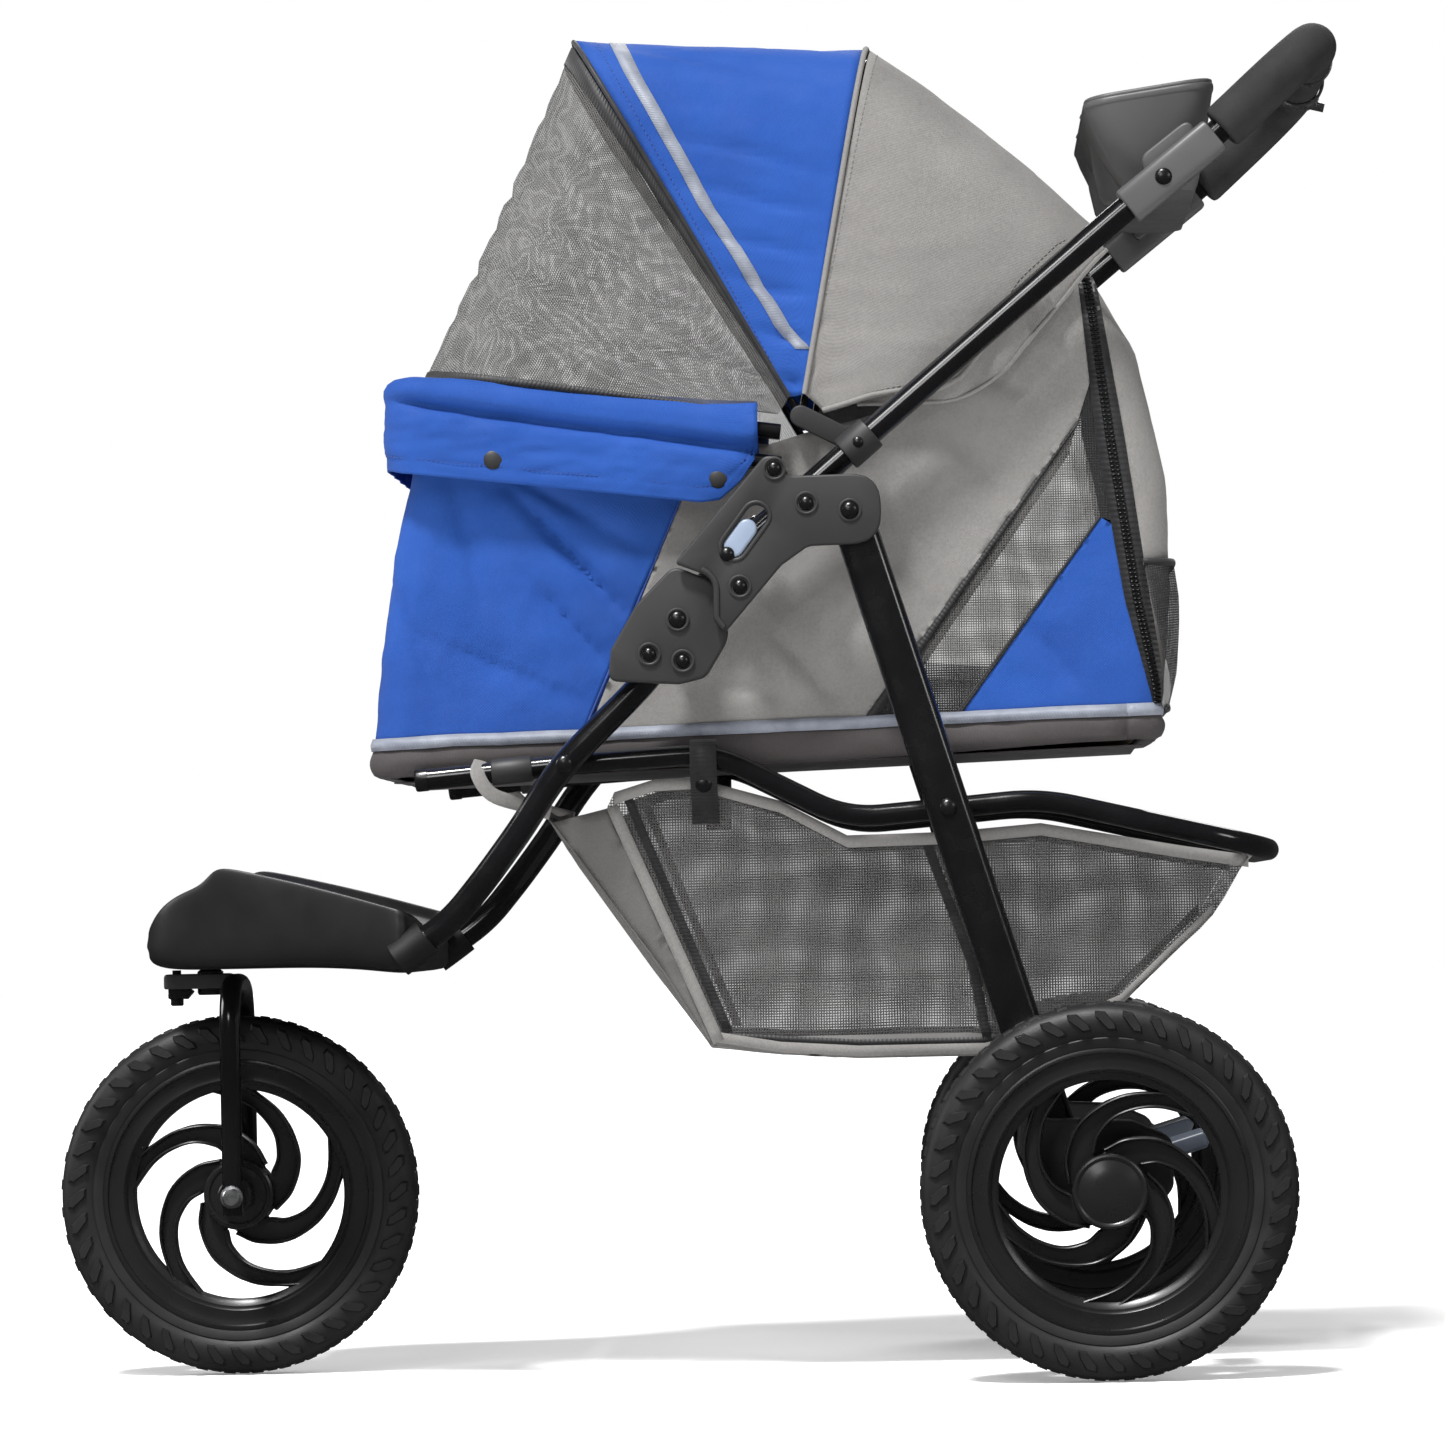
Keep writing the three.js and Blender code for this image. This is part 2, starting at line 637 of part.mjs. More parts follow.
// Sleeve on the handle tube with an ear that carries the canopy's pivot.
function handleCollar(side) {
  const along = new THREE.Vector2(HANDLE_BEND[0] - HANDLE_BOTTOM[0], HANDLE_BEND[1] - HANDLE_BOTTOM[1]).normalize();
  const end = (distance) => vector(
    COLLAR_CENTRE[0] + along.x * distance, side * FRAME_Y, COLLAR_CENTRE[1] + along.y * distance,
  );
  const sleeve = rodBetween(end(-13), end(13), 13.5, 12);
  const ear = plateOnSide(side, capsule(COLLAR_CENTRE, CANOPY_PIVOT, 8), [176.6, 181]);
  const pivot = rodOnSide(side, CANOPY_PIVOT, 3, 156.8, 177, 8);
  return cut(joined(sleeve, ear, pivot), tube(handlePath(HANDLE_BOTTOM), HANDLE_TUBE_RADIUS + GAP));
}

function roundedRectangle(xLow, xHigh, yLow, yHigh, radius) {
  const shape = new THREE.Shape();
  shape.absarc(xHigh - radius, yHigh - radius, radius, 0, Math.PI / 2);
  shape.absarc(xLow + radius, yHigh - radius, radius, Math.PI / 2, Math.PI);
  shape.absarc(xLow + radius, yLow + radius, radius, Math.PI, Math.PI * 1.5);
  shape.absarc(xHigh - radius, yLow + radius, radius, Math.PI * 1.5, Math.PI * 2);
  return shape;
}

function cupSolid(y, grow, zLow, zHigh) {
  const geometry = new THREE.CylinderGeometry(45 + grow, 34 + grow, zHigh - zLow, 16);
  geometry.rotateX(Math.PI / 2);
  geometry.translate(CUP_CENTRE_X, y, (zLow + zHigh) / 2);
  return solidFrom(geometry);
}

// Tray with two cups, carried by cheeks that clamp the handle's legs.
function cupTray() {
  const floor = CUP_MOUTH_Z - CUP_DEPTH;
  const flangeShape = roundedRectangle(CUP_CENTRE_X - 50, CUP_CENTRE_X + 50, -171, 171, 24);
  const flange = plateXY(flangeShape, CUP_MOUTH_Z - 6, CUP_MOUTH_Z);
  const cups = [-CUP_Y, CUP_Y].map((y) => cupSolid(y, 0, floor, CUP_MOUTH_Z));
  const hollows = [-CUP_Y, CUP_Y].map((y) => cupSolid(y, -3, floor + 3, CUP_MOUTH_Z + 1));
  const cheekShape = shapeOf([[348, 870], [388, 904], [386, 949], [322, 949]]);
  const clamps = SIDES.map(([, side]) => joined(
    plateOnSide(side, cheekShape, [165, 171]),
    rodBetween(vector(340, side * FRAME_Y, 867.8), vector(390, side * FRAME_Y, 907.2), 14, 12),
    plateOnSide(side, shapeOf([[352, 874], [384, 904], [378, 918], [348, 892]]), [168, 186]),
  ));
  return cut(joined(flange, ...cups, ...clamps), ...hollows, tube(handlePath(HANDLE_BOTTOM), HANDLE_TUBE_RADIUS + GAP));
}

// Band clamp with its screw, on the crossbar's grip.
function wristClamp() {
  const [low, high] = [CLAMP_Y - CLAMP_WIDTH / 2, CLAMP_Y + CLAMP_WIDTH / 2];
  const [x, z] = HANDLE_TOP;
  const band = rodY(HANDLE_TOP, GRIP_RADIUS + 2.4, low, high, 16);
  const bore = rodY(HANDLE_TOP, GRIP_RADIUS + 1, low - 1, high + 1, 16);
  const screw = rodBetween(vector(x + 13, CLAMP_Y, z - 15), vector(x + 21, CLAMP_Y, z - 17), 3.2, 8);
  return joined(cut(band, bore), screw.subtract(bore));
}

addPart('handle_tube', tube(handlePath(HANDLE_BOTTOM), HANDLE_TUBE_RADIUS), MATERIALS.blackTube);
addPart('handle_grip', handleGrip(), MATERIALS.gripFoam);
addPart('cup_tray', cupTray(), MATERIALS.blackPlastic);
addPart('wrist_clamp', wristClamp(), MATERIALS.steel);
for (const [name, side] of SIDES) {
  addPart(`upper_hinge_plate_${name}`, upperHingePlate(side), MATERIALS.blackPlastic);
  addPart(`fold_tongue_${name}`, foldTongue(side), MATERIALS.blackTube);
  addPart(`handle_collar_${name}`, handleCollar(side), MATERIALS.blackPlastic);
  addPart(`fold_latch_${name}`, foldLatch(side), MATERIALS.paleGrey);
}

// ---------------------------------------------------------------- cradle
const RAIL_POINTS = [[-204, 449], RAIL_PIVOT, [15, 464], [113, 413.5], RAIL_BOLT, [257, 425]];
const RAIL_REAR = [428, 384];

function basketRail() {
  const leg = (side) => bentPath([...RAIL_POINTS, RAIL_REAR].map(onPlane(side * RAIL_Y)), [8, 24, 24, 8, 24], 2);
  const left = leg(-1);
  const right = leg(1).reverse();
  const rear = bentPath([left.at(-2), left.at(-1), right[0], right[1]], 62, 5);
  const stations = [...left.slice(0, -2), ...rear, ...right.slice(2)];
  return cut(tube(stations, RAIL_RADIUS, 10), pinHole(RAIL_PIVOT));
}

function floorBarFront() {
  return rodBetween(vector(-170, -178, 437.8), vector(-170, 178, 437.8), 5, 10);
}

function floorBarRear() {
  const [x, railTop] = [RAIL_BOLT[0], RAIL_BOLT[1] + RAIL_RADIUS + 1];
  const corners = [[-RAIL_Y, railTop], [-RAIL_Y, 453.5], [RAIL_Y, 453.5], [RAIL_Y, railTop]];
  return tube(bentPath(corners.map(([y, z]) => vector(x, y, z)), 14, 4), 5, 10);
}

// The cabin's side outline, without the open top.
const CABIN_FLOOR = [[-244, 449], [345, 466]];
const CABIN_REAR = [[352, 505], [357, 580], [355, 660], [335, 760], [300, 826]];
const CABIN_TOP = [[255, 806], [205, 752], [150, 716], [88, 701], [60, 693], [-190, 730]];

function planOutline(xFront, xRear, halfWidth, radius) {
  return roundedRectangle(xFront, xRear, -halfWidth, halfWidth, radius);
}

function cabinShell() {
  const outer = plateXZ(shapeOf([...CABIN_FLOOR, ...CABIN_REAR, ...CABIN_TOP]), -200, 200);
  const inward = ([x, z]) => [x - CABIN_WALL, z];
  const raised = ([x, z]) => [x, z + 60];
  const innerOutline = [
    [-244 + CABIN_WALL, 449 + CABIN_WALL], [345 - CABIN_WALL, 466 + CABIN_WALL],
    ...CABIN_REAR.map(inward), ...CABIN_REAR.slice(-1).map(inward).map(raised),
    [-190 + CABIN_WALL, 886],
    [-190 + CABIN_WALL, 730],
  ];
  const inner = plateXZ(shapeOf(innerOutline), -200, 200);
  const plan = plateXY(planOutline(-260, 370, CABIN_HALF_WIDTH, 26), 400, 900);
  const innerPlan = plateXY(
    planOutline(-260, 370, CABIN_HALF_WIDTH - CABIN_WALL, 24), 400, 900,
  );
  return cut(outer.intersect(plan), inner.intersect(innerPlan));
}

// The floor slopes up toward the rear with the cabin's base.
function floorSlab(xLow, xHigh, halfWidth, above, thickness) {
  const slope = (466 - 449) / (345 + 244);
  const base = (x) => 449 + (x + 244) * slope + CABIN_WALL + above;
  const side = shapeOf([
    [xLow, base(xLow)], [xHigh, base(xHigh)], [xHigh, base(xHigh) + thickness], [xLow, base(xLow) + thickness],
  ]);
  return plateXZ(side, -halfWidth, halfWidth);
}

const BASKET_OUTLINE = [[-113, 424], [8, 243], [118, 231.5], [228, 231.5], [318, 269], [385, 335], [412, 378]];
const BASKET_TOP = [[257, 412], [188, 408], [113, 401], [20, 442], [-60, 445]];

function basketSolid(inset) {
  const insetPoint = ([x, z], i) => [x + (i < 2 ? inset * 1.2 : -inset * 0.8), z + (i > 0 && i < 6 ? inset : 0)];
  const lower = BASKET_OUTLINE.map(insetPoint);
  const top = inset === 0 ? BASKET_TOP : BASKET_TOP.map(([x, z]) => [x, z + 40]);
  const lifted = inset === 0 ? [] : [[412 - inset, 440]];
  const front = inset === 0 ? [] : [[-113 + inset * 1.2, 485]];
  const side = plateXZ(shapeOf([...lower, ...lifted, ...top, ...front]), -200, 200);
  const wide = BASKET_HALF_WIDTH - inset;
  const narrow = 128 - inset;
  const section = shapeOf([[-narrow, 225], [narrow, 225], [wide, 420], [wide, 500], [-wide, 500], [-wide, 420]]);
  return side.intersect(plateYZ(section, -200, 500));
}

addPart('basket_rail', basketRail(), MATERIALS.blackTube);
addPart('floor_bar_front', floorBarFront(), MATERIALS.blackTube);
addPart('floor_bar_rear', floorBarRear(), MATERIALS.blackTube);
addPart('floor_board', floorSlab(-225, 330, 150, 0.5, 6), MATERIALS.board);
addPart('floor_pad', floorSlab(-218, 322, 146, 7, 18), MATERIALS.darkFabric);
addPart('cabin_shell', cabinShell(), MATERIALS.greyFabric);
addPart('basket', cut(basketSolid(0), basketSolid(FABRIC)), MATERIALS.meshFabric);

// ---------------------------------------------------------------- cabin rim and front flap
const RIM_FRONT_X = -211;
const rimHeight = (x) => 701 + (78 - x) * 0.141;

function rimTube(drop) {
  const point = (x, y) => vector(x, y, rimHeight(x) - drop);
  const corners = [
    point(70, -RIM_TUBE_Y), point(RIM_FRONT_X, -RIM_TUBE_Y), point(RIM_FRONT_X, RIM_TUBE_Y), point(70, RIM_TUBE_Y),
  ];
  return tube(bentPath(corners, 24, 4), RIM_TUBE_RADIUS, 8);
}

function frontFlap() {
  const side = plateXZ(shapeOf([[-230, 684], [36, 652], [53, 722], [-230, 753]]), -200, 200);
  const outer = plateXY(planOutline(-227, 400, 179, 32), 600, 800);
  const inner = plateXY(planOutline(-227 + FABRIC - 0.5, 400, 176.5, 30), 600, 800);
  return side.intersect(cut(outer, inner));
}

addPart('rim_upper_tube', rimTube(0), MATERIALS.blackTube);
addPart('rim_lower_tube', rimTube(24), MATERIALS.blackTube);
addPart('front_flap', frontFlap(), MATERIALS.blueFabric);

// ---------------------------------------------------------------- canopy
// Half-width and reach of an arch at a list of columns, from one base over the top to the other.
function archColumns(halfWidth, base, length, reach = 84) {
  const crown = 5;
  const corner = new THREE.QuadraticBezierCurve(
    new THREE.Vector2(-halfWidth, length - reach),
    new THREE.Vector2(-halfWidth + 4, length),
    new THREE.Vector2(-halfWidth + reach, length),
  );
  const half = [
    [-halfWidth, base],
    [-halfWidth, (base + length - reach) / 2],
    ...corner.getPoints(5).map((p) => [p.x, p.y]),
  ];
  const mirrored = half.map(([y, u]) => [-y, u]).reverse();
  return [...half, [0, length + crown], ...mirrored];
}

function archPoints(angleDegrees, columns) {
  const angle = THREE.MathUtils.degToRad(angleDegrees);
  return columns.map(([y, u]) => vector(
    CANOPY_PIVOT[0] + u * Math.cos(angle), y, CANOPY_PIVOT[1] + u * Math.sin(angle),
  ));
}

const ARCH_BASE = 17;
const fabricArch = (angle, length, inset) => (
  archPoints(angle, archColumns(CANOPY_HALF_WIDTH - inset, ARCH_BASE, length - inset))
);

function ruledRows(start, end, steps) {
  return Array.from({ length: steps + 1 }, (_, i) => (
    start.map((point, column) => point.clone().lerp(end[column], i / steps))
  ));
}

// A panel stretched straight between two arches.
function stretchedPanel([angleA, lengthA], [angleB, lengthB], steps) {
  const surface = (inset) => ruledRows(fabricArch(angleA, lengthA, inset), fabricArch(angleB, lengthB, inset), steps);
  return thinShell(surface(0), surface(FABRIC));
}

// An arch drawn away from the canopy's pivot by a share of its distance.
function drawnOut(row, share) {
  const [x, z] = CANOPY_PIVOT;
  return row.map((point) => vector(x + (point.x - x) * (1 + share), point.y, z + (point.z - z) * (1 + share)));
}

// The rear panel runs nearly straight from the middle bow to its free edge, with a slight bulge.
function rearPanel() {
  const rows = 5;
  const surface = (inset) => ruledRows(
    fabricArch(MID_BOW_ANGLE - 0.6, MID_BOW_LENGTH, inset),
    fabricArch(REAR_EDGE_ANGLE, REAR_EDGE_LENGTH, inset),
    rows,
  ).map((row, i) => drawnOut(row, REAR_BULGE * Math.sin((i / rows) * Math.PI)));
  return thinShell(surface(0), surface(FABRIC));
}

function canopyBow(angle, length, halfWidth) {
  const columns = archColumns(halfWidth, 0, length - 9, 76);
  const arch = tube(archPoints(angle, columns), BOW_RADIUS, 6);
  const hubs = SIDES.map(([, side]) => rodOnSide(side, CANOPY_PIVOT, 7, halfWidth - 3, halfWidth + 3, 10));
  const bores = SIDES.map(([, side]) => rodOnSide(side, CANOPY_PIVOT, 3 + GAP, 140, 185, 8));
  return cut(joined(arch, ...hubs), ...bores);
}

addPart('canopy_front_bow', canopyBow(FRONT_BOW_ANGLE, FRONT_BOW_LENGTH, 167.7), MATERIALS.blackTube);
addPart('canopy_mid_bow', canopyBow(MID_BOW_ANGLE, MID_BOW_LENGTH, 160.7), MATERIALS.blackTube);
addPart(
  'canopy_mesh',
  stretchedPanel([FRONT_BOW_ANGLE + 0.7, FRONT_BOW_LENGTH - 4], [MESH_EDGE_ANGLE, MESH_EDGE_LENGTH], 4),
  MATERIALS.meshFabric,
);
addPart(
  'canopy_front',
  stretchedPanel([FRONT_BOW_ANGLE - 0.1, FRONT_BOW_LENGTH], [MID_BOW_ANGLE + 0.2, MID_BOW_LENGTH], 4),
  MATERIALS.blueFabric,
);
addPart('canopy_rear', rearPanel(), MATERIALS.greyFabric);

export default stroller;
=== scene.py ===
# Three-wheeled folding pet stroller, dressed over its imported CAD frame.
# Points are in millimetres in the row frame: -X front, +X push handle, -Y the stroller's left, +Z up.
import math

import bpy
import numpy as np
from mathutils import Matrix, Vector, noise
from mathutils.geometry import delaunay_2d_cdt


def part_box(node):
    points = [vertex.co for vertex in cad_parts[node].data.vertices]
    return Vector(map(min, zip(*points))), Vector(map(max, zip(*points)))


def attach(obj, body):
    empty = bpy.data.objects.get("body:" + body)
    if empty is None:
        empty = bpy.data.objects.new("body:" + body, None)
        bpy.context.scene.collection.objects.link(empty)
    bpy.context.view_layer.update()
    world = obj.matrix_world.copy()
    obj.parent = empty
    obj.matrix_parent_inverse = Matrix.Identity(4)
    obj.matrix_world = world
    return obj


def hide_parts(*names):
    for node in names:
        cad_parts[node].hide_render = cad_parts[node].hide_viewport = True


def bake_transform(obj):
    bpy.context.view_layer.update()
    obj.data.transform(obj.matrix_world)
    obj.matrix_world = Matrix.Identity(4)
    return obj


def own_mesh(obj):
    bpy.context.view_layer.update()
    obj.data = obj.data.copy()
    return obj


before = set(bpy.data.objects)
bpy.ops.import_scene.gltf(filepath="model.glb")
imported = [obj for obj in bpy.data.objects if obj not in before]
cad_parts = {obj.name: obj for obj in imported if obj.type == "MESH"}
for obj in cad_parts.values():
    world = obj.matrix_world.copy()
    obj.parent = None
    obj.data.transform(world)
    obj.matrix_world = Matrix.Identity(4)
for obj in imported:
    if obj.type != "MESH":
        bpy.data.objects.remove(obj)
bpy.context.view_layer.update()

MM = 0.001
SIDES = (("left", -1), ("right", 1))

# ------------------------------------------------------------------ shared sizes
WHEEL_RADIUS = 137.5
AXLE_Z = WHEEL_RADIUS
FRONT_WHEEL_X = -362
REAR_WHEEL_X = 299
REAR_WHEEL_Y = 262
FRAME_Y = 190
RAIL_Y = 170
RIM_TUBE_Y = 169

FOLD_PIVOT = (-7.7, 562.0)
LEG_PIVOT = (121.1, 639.3)
RAIL_PIVOT = (-94.3, 458.1)
RAIL_BOLT = (188.4, 419.3)
CANOPY_PIVOT = (85.6, 713.0)
COLLAR_CENTRE = (128.0, 690.8)
HANDLE_BOTTOM = (25.0, 604.4)
HANDLE_BEND = (325.0, 856.0)
HANDLE_UPPER = (393.5, 910.0)
HANDLE_TOP = (474.7, 983.8)


# ------------------------------------------------------------------ vectors and paths
def mm(x, y, z):
    return Vector((x, y, z)) * MM


def at(x, y, z):
    return Vector((x, y, z))


def on_plane(points, y):
    """Points drawn as (x, z), placed in the plane y."""
    return [Vector((x, y, z)) for x, z in points]


def turned(x, z, centre, degrees):
    """The point (x, z) turned about centre in the XZ plane, counter-clockwise as seen from -Y."""
    a = math.radians(degrees)
    dx, dz = x - centre[0], z - centre[1]
    return centre[0] + dx * math.cos(a) - dz * math.sin(a), centre[1] + dx * math.sin(a) + dz * math.cos(a)


def bent(corners, reach, steps=8):
    """A polyline with its inner corners rounded; reach is how far along each leg a bend starts."""
    reaches = reach if isinstance(reach, (list, tuple)) else [reach] * (len(corners) - 2)
    stations = [corners[0]]
    for before, corner, after, size in zip(corners, corners[1:], corners[2:], reaches):
        start = corner + (before - corner).normalized() * size
        end = corner + (after - corner).normalized() * size
        for i in range(steps + 1):
            t = i / steps
            stations.append(start * (1 - t) ** 2 + corner * 2 * t * (1 - t) + end * t**2)
    stations.append(corners[-1])
    return stations


def spline(points, steps=8):
    """A Catmull-Rom curve through points (Vectors)."""
    ends = [points[0] * 2 - points[1], *points, points[-1] * 2 - points[-2]]
    stations = []
    for a, b, c, d in zip(ends, ends[1:], ends[2:], ends[3:]):
        for i in range(steps):
            t = i / steps
            stations.append(
                0.5 * (2 * b + (c - a) * t + (2 * a - 5 * b + 4 * c - d) * t**2 + (3 * b - 3 * c + d - a) * t**3)
            )
    stations.append(points[-1].copy())
    return stations


def rounded_outline(corners, steps=6):
    """A closed (x, z) outline from corners given as (x, z, radius)."""
    outline = []
    count = len(corners)
    for i, (x, z, radius) in enumerate(corners):
        here = Vector((x, z))
        if radius <= 0:
            outline.append((x, z))
            continue
        before = Vector(corners[i - 1][:2]) - here
        after = Vector(corners[(i + 1) % count][:2]) - here
        half = before.angle(after) / 2
        reach = min(radius / math.tan(half), before.length * 0.48, after.length * 0.48)
        start, end = here + before.normalized() * reach, here + after.normalized() * reach
        for k in range(steps + 1):
            t = k / steps
            point = start * (1 - t) ** 2 + here * 2 * t * (1 - t) + end * t**2
            outline.append((point.x, point.y))
    return outline


def circle(centre, radius, count=32):
    turns = [2 * math.pi * i / count for i in range(count)]
    return [(centre[0] + radius * math.cos(a), centre[1] + radius * math.sin(a)) for a in turns]


def capsule(start, end, radius, steps=10):
    angle = math.atan2(end[1] - start[1], end[0] - start[0])
    outline = []
    for centre, first in ((end, angle - math.pi / 2), (start, angle + math.pi / 2)):
        for i in range(steps + 1):
            a = first + math.pi * i / steps
            outline.append((centre[0] + radius * math.cos(a), centre[1] + radius * math.sin(a)))
    return outline


def signed_area(outline):
    pairs = zip(outline, outline[1:] + outline[:1])
    return sum(a[0] * b[1] - b[0] * a[1] for a, b in pairs) / 2


def inset(outline, distance):
    """The outline moved inward by distance, along the mean normal at each point."""
    points = np.array(outline, float)
    before = points - np.roll(points, 1, axis=0)
    after = np.roll(points, -1, axis=0) - points
    before /= np.maximum(np.linalg.norm(before, axis=1, keepdims=True), 1e-9)
    after /= np.maximum(np.linalg.norm(after, axis=1, keepdims=True), 1e-9)
    tangent = before + after
    tangent /= np.maximum(np.linalg.norm(tangent, axis=1, keepdims=True), 1e-9)
    normal = np.stack([-tangent[:, 1], tangent[:, 0]], axis=1)
    inward = 1 if signed_area(outline) > 0 else -1
    moved = points + normal * distance * inward
    return [tuple(p) for p in moved]


def inside(points, outline):
    """Which of the points (n x 2) lie inside the outline."""
    x, z = points[:, 0], points[:, 1]
    hit = np.zeros(len(points), bool)
    for (xa, za), (xb, zb) in zip(outline, outline[1:] + outline[:1]):
        crosses = (za > z) != (zb > z)
        where = (xb - xa) * (z - za) / (zb - za if zb != za else 1e-12) + xa
        hit ^= crosses & (x < where)
    return hit


def refined(outline, spacing):
    """The outline with its long edges divided."""
    points = []
    for a, b in zip(outline, outline[1:] + outline[:1]):
        count = max(1, math.ceil(math.dist(a, b) / spacing))
        points += [(a[0] + (b[0] - a[0]) * i / count, a[1] + (b[1] - a[1]) * i / count) for i in range(count)]
    return points


def fill(outline, holes=(), spacing=None):
    """Triangles over an outline less its holes: (points, triangles). With spacing, the inside gets a grid of points."""
    loops = [list(outline), *[list(h) for h in holes]]
    if spacing:
        loops = [refined(loop, spacing) for loop in loops]
    points = [p for loop in loops for p in loop]
    edges, start = [], 0
    for loop in loops:
        count = len(loop)
        edges += [(start + i, start + (i + 1) % count) for i in range(count)]
        start += count
    if spacing:
        low, high = np.min(points, axis=0), np.max(points, axis=0)
        xs = np.arange(low[0] + spacing * 0.6, high[0], spacing)
        zs = np.arange(low[1] + spacing * 0.6, high[1], spacing * 0.9)
        grid = np.array([(x + (row % 2) * spacing / 2, z) for row, z in enumerate(zs) for x in xs])
        keep = inside(grid, inset(loops[0], spacing * 0.45))
        for loop in loops[1:]:
            keep &= ~inside(grid, inset(loop, -spacing * 0.45))
        points += [tuple(p) for p in grid[keep]]
    found = delaunay_2d_cdt([Vector(p) for p in points], edges, [], 0, 1e-6)
    made = np.array([tuple(v) for v in found[0]], float)
    triangles = np.array([f for f in found[2] if len(f) == 3], int)
    middles = made[triangles].mean(axis=1)
    keep = inside(middles, loops[0])
    for loop in loops[1:]:
        keep &= ~inside(middles, loop)
    return made, triangles[keep]


# ------------------------------------------------------------------ meshes
def add_mesh(name, points, faces, material, uvs=None, sharp=None):
    """An object from points in millimetres. uvs are one (u, v) per point, in metres."""
    mesh = bpy.data.meshes.new(name)
    mesh.from_pydata([tuple(np.array(p) * MM) for p in points], [], [list(map(int, f)) for f in faces])
    mesh.validate()
    if uvs is not None:
        layer = mesh.uv_layers.new(name="UVMap")
        corners = np.zeros(len(mesh.loops), int)
        mesh.loops.foreach_get("vertex_index", corners)
        layer.data.foreach_set("uv", np.array(uvs, float)[corners].ravel())
    mesh.polygons.foreach_set("use_smooth", [True] * len(mesh.polygons))
    if sharp is not None:
        mesh.set_sharp_from_angle(angle=math.radians(sharp))
    obj = bpy.data.objects.new(name, mesh)
    bpy.context.scene.collection.objects.link(obj)
    mesh.materials.append(material)
    return obj


def place(obj, body, slot, *nodes):
    """Rides the piece on its body and hides the CAD nodes it stands for; slot is not used."""
    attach(obj, body)
    if nodes:
        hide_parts(*nodes)
    return obj


def merged(name, parts):
    """Joins (points, faces) parts into one."""
    points, faces = [], []
    for part_points, part_faces in parts:
        start = len(points)
        points += [tuple(p) for p in part_points]
        faces += [[i + start for i in face] for face in part_faces]
    return points, faces


def frames_along(stations, reference):
    """Tangent, first and second cross directions at each station, without twist."""
    tangents = []
    last = len(stations) - 1
    for i in range(last + 1):
        ahead = (stations[min(i + 1, last)] - stations[i])
        behind = (stations[i] - stations[max(i - 1, 0)])
        tangents.append((ahead.normalized() + behind.normalized()).normalized())
    across = (reference - tangents[0] * reference.dot(tangents[0])).normalized()
    frames = []
    for i, tangent in enumerate(tangents):
        if i:
            across = tangents[i - 1].rotation_difference(tangent) @ across
            across = (across - tangent * across.dot(tangent)).normalized()
        frames.append((tangent, across, tangent.cross(across)))
    return frames


def sweep(stations, section, reference=Vector((0, 1, 0)), capped=True, closed_section=True):
    """A section [(a, b)] carried along stations: a goes along the reference, b across it."""
    frames = frames_along(stations, reference)
    count = len(section)
    points = []
    for i, (station, (_, across, up)) in enumerate(zip(stations, frames)):
        points += [station + across * a + up * b for a, b in section]
    faces = []
    width = count if closed_section else count - 1
    for ring in range(len(stations) - 1):
        for i in range(width):
            j = (i + 1) % count
            faces.append([ring * count + i, ring * count + j, (ring + 1) * count + j, (ring + 1) * count + i])
    if capped and closed_section:
        last = (len(stations) - 1) * count
        faces.append(list(range(count))[::-1])
        faces.append([last + i for i in range(count)])
    return points, faces


def ring_section(radius, sides=24):
    return [(radius * math.cos(2 * math.pi * i / sides), radius * math.sin(2 * math.pi * i / sides)) for i in range(sides)]


def oval_section(half_along, half_across, power=2.6, sides=32):
    section = []
    for i in range(sides):
        c, s = math.cos(2 * math.pi * i / sides), math.sin(2 * math.pi * i / sides)
        section.append((
            math.copysign(abs(c) ** (2 / power), c) * half_along,
            math.copysign(abs(s) ** (2 / power), s) * half_across,
        ))
    return section


def rounded_rod(stations, radius, sides=24, round_end=1.5):
    """A round tube with flat caps; round_end is not used."""
    points, faces = sweep(stations, ring_section(radius, sides), capped=True)
    return points, faces


def tube(name, stations, radius, material, sides=24):
    return add_mesh(name, *sweep(stations, ring_section(radius, sides)), material, sharp=50)


def revolve(profile, centre, count=96, closed=True, axis="y"):
    """A profile [(radius, along)] turned about an axis through centre."""
    points, faces = [], []
    size = len(profile)
    for i in range(count):
        a = 2 * math.pi * i / count
        for radius, along in profile:
            across = (radius * math.cos(a), radius * math.sin(a))
            if axis == "y":
                points.append((centre[0] + across[0], centre[1] + along, centre[2] + across[1]))
            else:
                points.append((centre[0] + across[0], centre[1] + across[1], centre[2] + along))
    width = size if closed else size - 1
    for i in range(count):
        for k in range(width):
            a, b = i * size + k, i * size + (k + 1) % size
            c, d = ((i + 1) % count) * size + (k + 1) % size, ((i + 1) % count) * size + k
            faces.append([a, b, c, d])
    if not closed:
        faces.append([i * size for i in range(count)])
        faces.append([i * size + size - 1 for i in range(count)][::-1])
    return points, faces


